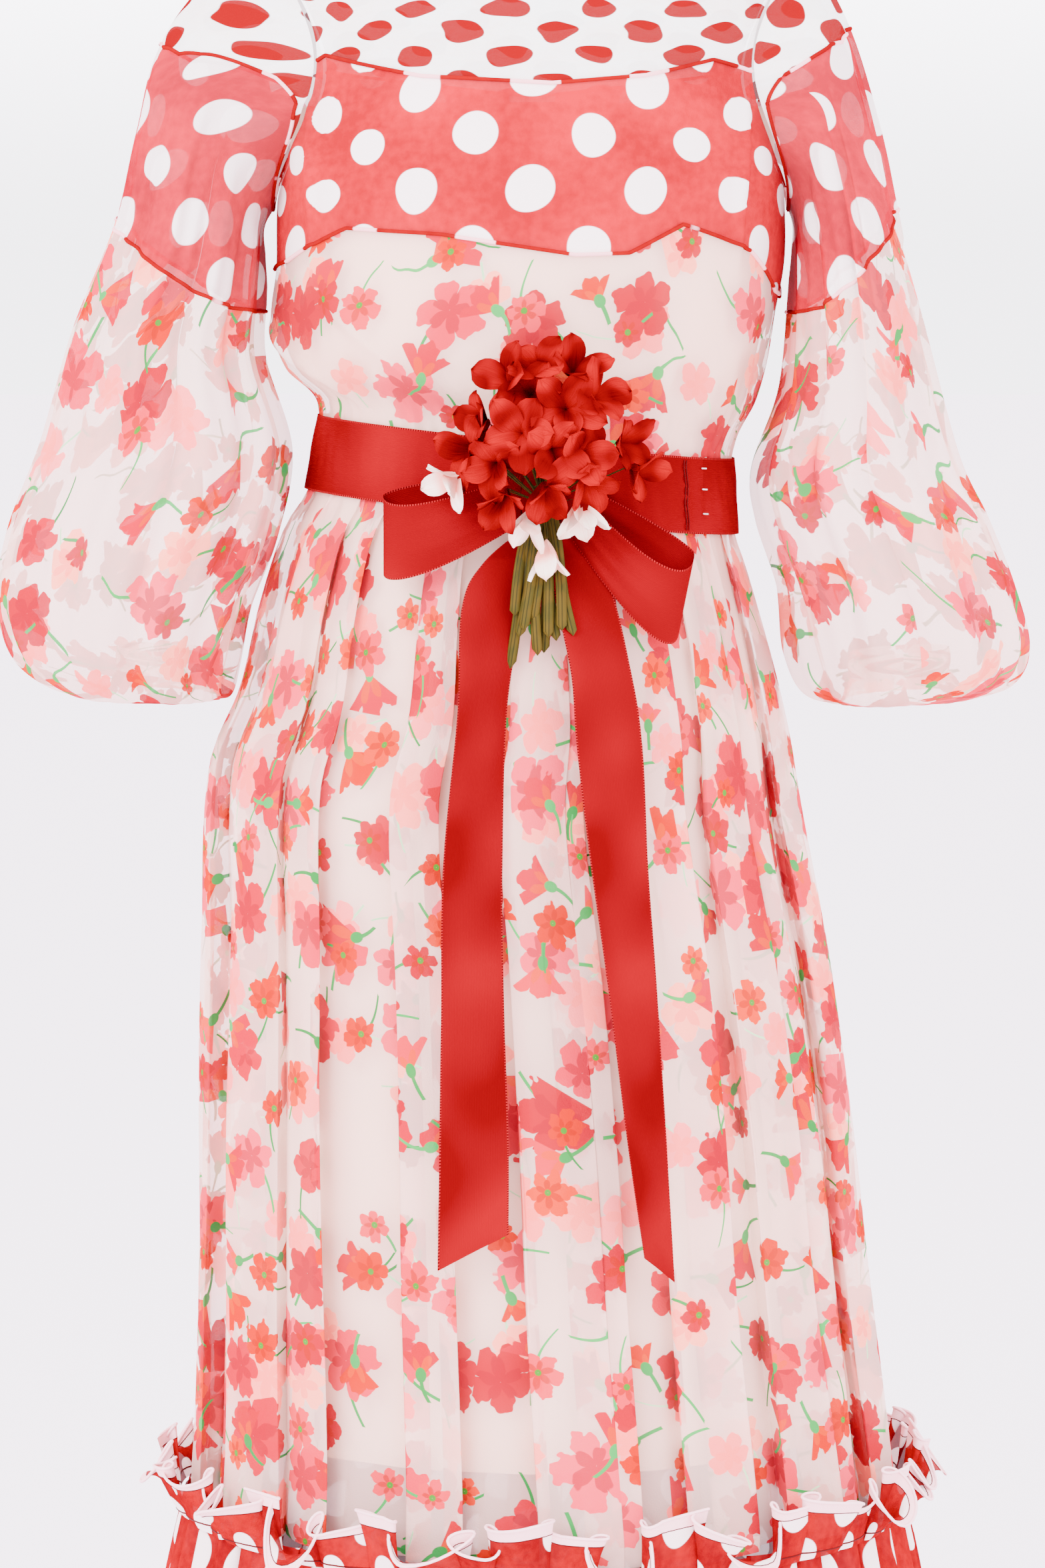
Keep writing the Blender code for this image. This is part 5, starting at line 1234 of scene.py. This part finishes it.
corsage = {
    "tie": np.array([0.0080, -0.1150, -0.3740]), "stemTop": 0.0010,
    # each floret: x, y, z of its heart, the way it faces, petals, their length, half width and opening
    "red": {
        "blossom_red_1": ((-0.0080, -0.1400, -0.3060, -0.75, -0.75, 0.45, 4, 0.0255, 0.0090, 1.20),
                          (-0.0220, -0.1360, -0.3280, -1.0, -0.60, 0.1, 5, 0.0215, 0.0080, 1.10),
                          (0.0010, -0.1440, -0.3120, -0.1, -1.0, 0.3, 5, 0.0225, 0.0084, 1.30)),
        "blossom_red_2": ((0.0060, -0.1400, -0.3010, -0.2, -0.8, 0.9, 4, 0.0230, 0.0084, 1.10),
                          (0.0230, -0.1400, -0.3020, 0.5, -0.8, 0.9, 4, 0.0235, 0.0082, 0.95)),
        "blossom_red_3": ((0.0350, -0.1420, -0.3150, 0.75, -0.8, 0.5, 4, 0.0245, 0.0086, 1.20),
                          (0.0200, -0.1500, -0.3200, 0.1, -1.0, 0.25, 5, 0.0240, 0.0084, 1.30)),
        "blossom_red_4": ((-0.0300, -0.1320, -0.3420, -0.9, -0.8, -0.15, 4, 0.0255, 0.0086, 1.15),
                          (-0.0180, -0.1440, -0.3490, -0.5, -1.0, -0.35, 5, 0.0230, 0.0082, 1.20)),
        "blossom_red_5": ((-0.0040, -0.1520, -0.3330, -0.3, -1.0, 0.1, 5, 0.0240, 0.0084, 1.30),
                          (0.0120, -0.1540, -0.3410, 0.3, -1.0, -0.2, 4, 0.0235, 0.0086, 1.15)),
        "blossom_red_6": ((0.0480, -0.1340, -0.3390, 1.0, -0.8, 0.0, 5, 0.0225, 0.0068, 0.95),
                          (0.0560, -0.1280, -0.3520, 1.0, -0.7, -0.5, 4, 0.0250, 0.0074, 0.90)),
        "blossom_red_7": ((-0.0125, -0.1400, -0.3640, -0.35, -0.8, -0.9, 4, 0.0265, 0.0082, 0.75),
                          (0.0080, -0.1440, -0.3600, 0.15, -0.8, -0.9, 4, 0.0240, 0.0090, 0.75)),
        "blossom_red_8": ((0.0270, -0.1480, -0.3450, 0.45, -1.0, -0.1, 5, 0.0240, 0.0088, 1.25),
                          (0.0300, -0.1400, -0.3580, 0.5, -0.9, -0.7, 4, 0.0240, 0.0084, 1.00))},
    "pale": {
        "blossom_pale_1": ((-0.0390, -0.1290, -0.3560, -0.8, -0.5, -0.6, 4, 0.0235, 0.0072, 0.85),),
        "blossom_pale_2": ((0.0000, -0.1330, -0.3760, -0.15, -0.5, -1.0, 4, 0.0230, 0.0064, 0.60),),
        "blossom_pale_3": ((0.0095, -0.1310, -0.3930, 0.05, -0.3, -1.0, 4, 0.0240, 0.0064, 0.45),),
        "blossom_pale_4": ((0.0270, -0.1330, -0.3700, 0.1, -0.5, -1.0, 5, 0.0250, 0.0070, 0.62),)},
    # lower ends of the bundled stems
    "stems": ((-0.0110, -0.1295, -0.4660), (-0.0060, -0.1325, -0.4480), (-0.0085, -0.1300, -0.4360),
              (-0.0035, -0.1345, -0.4440), (0.0020, -0.1320, -0.4380), (0.0045, -0.1360, -0.4580),
              (0.0080, -0.1310, -0.4570), (0.0105, -0.1350, -0.4480), (0.0150, -0.1330, -0.4500),
              (0.0180, -0.1355, -0.4440), (0.0225, -0.1325, -0.4490), (0.0245, -0.1340, -0.4470)),
    "stemWidth": 0.0030, "stemDepth": 0.0011, "tieSize": (0.0062, 0.0055), "tieReach": (0, 0, 0.011),
    "petalGrid": (6, 9), "petalFlat": (0.02, 0.025),
}


def framePointing(direction):
    return np.array(Vector(direction).normalized().to_track_quat("Z", "Y").to_matrix())


def petalPlace(base, axes, turn, length, halfWidth, opening, seed):
    def place(s, t):
        # the middle line leaves along the floret's axis and turns outwards; the blade is a broad rounded spoon
        lean = 0.25 + (opening - 0.25) * t**0.7
        across = 2 * s - 1
        width = halfWidth * np.clip(np.sin(np.pi * np.clip(0.015 + 0.985 * t, 0, 1) ** 1.45), 0, 1) ** 0.55
        cup = 0.07 * length * across**2 * np.sin(np.pi * t) * math.cos(seed)
        cup = cup - 0.0012 * np.sin(3.5 * across + seed) * t
        curl = 0.10 * length * math.sin(1.7 * seed) * t**3
        out = length * t * np.sin(lean) - cup * np.cos(lean)
        rise = length * t * np.cos(lean) + cup * np.sin(lean) + curl
        blade = across * width
        c, n = math.cos(turn), math.sin(turn)
        spun = np.stack([out * c - blade * n, out * n + blade * c, rise], axis=-1)
        return base + spun @ axes.T
    return place


def petalFlat(s, t, points):
    return (s - 0.5) * corsage["petalFlat"][0], t * corsage["petalFlat"][1]


for group, material in (("red", redPetalCloth), ("pale", palePetalCloth)):
    for number, (node, florets) in enumerate(corsage[group].items()):
        petals = []
        for j, (x, y, z, dx, dy, dz, count, length, halfWidth, opening) in enumerate(florets):
            axes = framePointing((dx, dy, dz))
            for k in range(count):
                turn = math.tau * k / count + 0.9 * number + 0.5 * j + 0.16 * math.sin(5 * k + number)
                opened = opening * (1.0 if k % 2 else 0.76) + 0.12 * math.sin(3.1 * k + 1.7 * number)
                grown = length * (1 + 0.08 * math.sin(4.3 * k + number))
                place = petalPlace(np.array([x, y, z]), axes, turn, grown, halfWidth, opened, k + 2.0 * number)
                petals.append(clothGrid("petal", *corsage["petalGrid"], place, petalFlat, material))
        blossom = joinPieces(node + "_cloth", petals)
        finishPiece(blossom, slotNames[material.name], node)


def stemTube(start, end, halfWidth, halfDepth, bend=0.0):
    start, end = np.asarray(start, float), np.asarray(end, float)

    def place(s, t):
        length = 1 - t
        middle = start + (end - start) * length[..., None]
        middle[..., 0] += bend * np.sin(np.pi * length)
        close = np.clip(np.minimum(t, 1 - t) * 60, 0.05, 1)
        around = s * math.tau
        x = halfWidth * np.sin(around) * close
        y = -halfDepth * np.cos(around) * close
        return middle + np.stack([x, y, 0 * x], axis=-1)

    def flat(s, t, points):
        return s * 2 * math.pi * halfWidth, (1 - t) * np.linalg.norm(end - start)
    return clothGrid("stem", 12, 24, place, flat, greenStemPaper, closed=True)


tubes = []
tie, tieReach = corsage["tie"], np.array(corsage["tieReach"])
for k, end in enumerate(corsage["stems"]):
    start = tie + np.array([(k - 5.5) * 0.0007, -0.002 + 0.002 * (k % 3), 0.008])
    halfDepth, bend = corsage["stemDepth"] + 0.0004 * (k % 2), 0.003 * math.sin(2.2 * k)
    tubes.append(stemTube(start, end, corsage["stemWidth"], halfDepth, bend))
for florets in (*corsage["red"].values(), *corsage["pale"].values()):
    for x, y, z, *_ in florets:
        tubes.append(stemTube(tie, (x, y, z), corsage["stemTop"], corsage["stemTop"]))
tubes.append(stemTube(tie + tieReach, tie - tieReach, *corsage["tieSize"]))
finishPiece(joinPieces("stem_bundle_paper", tubes), "green_stem_paper", "stem_bundle")
print("corsage made")

# the seam's thread, and the white thread bars at the end of the belt, which hold its hooks
threads = []
lapEnd = belt["endAngles"][1]
for apart in (belt["rowApart"], -belt["rowApart"]):
    rise = np.linspace(-belt["rowRise"], belt["rowRise"], 40)
    path = beltPoint(lapEnd - belt["seamIn"] - apart + 0.004 * np.sin(300 * rise), rise, belt["rowOut"])
    threads.append(cordAlong("seam", path, belt["rowRadius"], threadRed, (rise, 0 * rise)))
for rise in belt["barHeights"]:
    angle = np.linspace(lapEnd - belt["barReach"][0], lapEnd + belt["barReach"][1], 12)
    path = beltPoint(angle, rise + 0 * angle, belt["barOut"])
    path[:, 1] -= 0.0006 * np.sin(np.linspace(0, np.pi, 12))
    threads.append(cordAlong("bar", path, belt["barRadius"], threadWhite, (angle, 0 * angle)))
finishPiece(joinPieces("belt_thread_bars", threads), "red_satin_ribbon")
stage = {"floor": -1.43, "floorReach": 40.0, "floorColour": "FFF4FC", "sky": "FBF7FF", "skyStrength": 5.0,
         # the brighter part behind: its light, and where it starts sideways and upwards
         "backStrength": 11.0, "backTurn": (0.80, 0.94), "backRise": (0.0, 0.12), "lampAim": (0, 0, -0.6)}
deselectAll()
bpy.ops.mesh.primitive_circle_add(vertices=96, radius=stage["floorReach"], fill_type="NGON",
                                  location=(0, 0, stage["floor"]))
floor = bpy.context.active_object
floor.name = "studioFloor"
# matt white seamless paper
floorPaper, _, floorShader = newMaterial("seamlessPaper", 0.9)
floorShader.inputs["Base Color"].default_value = hexColour(stage["floorColour"])
floor.data.materials.append(floorPaper)

world = bpy.data.worlds.new("studioAir")
bpy.context.scene.world = world
world.use_nodes = True
airTree = world.node_tree
air = airTree.nodes["Background"]
air.inputs["Color"].default_value = hexColour(stage["sky"])
# brighter behind the dress than around it
around = addNode(airTree, "SeparateXYZ", {}, {0: addNode(airTree, "TexCoord").outputs["Generated"]})
eased = {"interpolation_type": "SMOOTHSTEP"}
turned, risen = stage["backTurn"], stage["backRise"]
behind = addNode(airTree, "MapRange", eased, {0: around.outputs[1], 1: turned[0], 2: turned[1]})
rising = addNode(airTree, "MapRange", eased, {0: around.outputs[2], 1: risen[0], 2: risen[1]})
bright = addNode(airTree, "Math", {"operation": "MULTIPLY"}, {0: behind.outputs[0], 1: rising.outputs[0]})
glow = addNode(airTree, "MapRange", {}, {0: bright.outputs[0], 3: stage["skyStrength"], 4: stage["backStrength"]})
airTree.links.new(glow.outputs[0], air.inputs["Strength"])

# place, size, power
lamps = {"keySoftbox": ((-1.9, -2.4, 1.1), 1.6, 190.0), "fillSoftbox": ((2.4, -2.2, 0.3), 2.0, 80.0)}
for name, (place, size, power) in lamps.items():
    bpy.ops.object.light_add(type="AREA", location=place)
    lamp = bpy.context.active_object
    lamp.name = name
    lamp.data.size = size
    lamp.data.energy = power
    lamp.rotation_euler = (Vector(stage["lampAim"]) - Vector(place)).to_track_quat("-Z", "Y").to_euler()

view = {"target": (-0.004, 0.0, -0.546), "distance": 2.7, "pitch": math.radians(6.5), "halfHeight": 0.465,
        "sensor": 36.0}
target = Vector(view["target"])
back = Vector((0.0, -math.cos(view["pitch"]), math.sin(view["pitch"])))
bpy.ops.object.camera_add(location=target + back * view["distance"])
camera = bpy.context.active_object
camera.name = "photoCamera"
camera.rotation_euler = (-back).to_track_quat("-Z", "Y").to_euler()
camera.data.sensor_width = view["sensor"]
camera.data.lens = view["sensor"] / 2 * view["distance"] / view["halfHeight"]
camera.data.clip_end = 200.0
bpy.context.scene.camera = camera
print("stage, lamps and camera made")
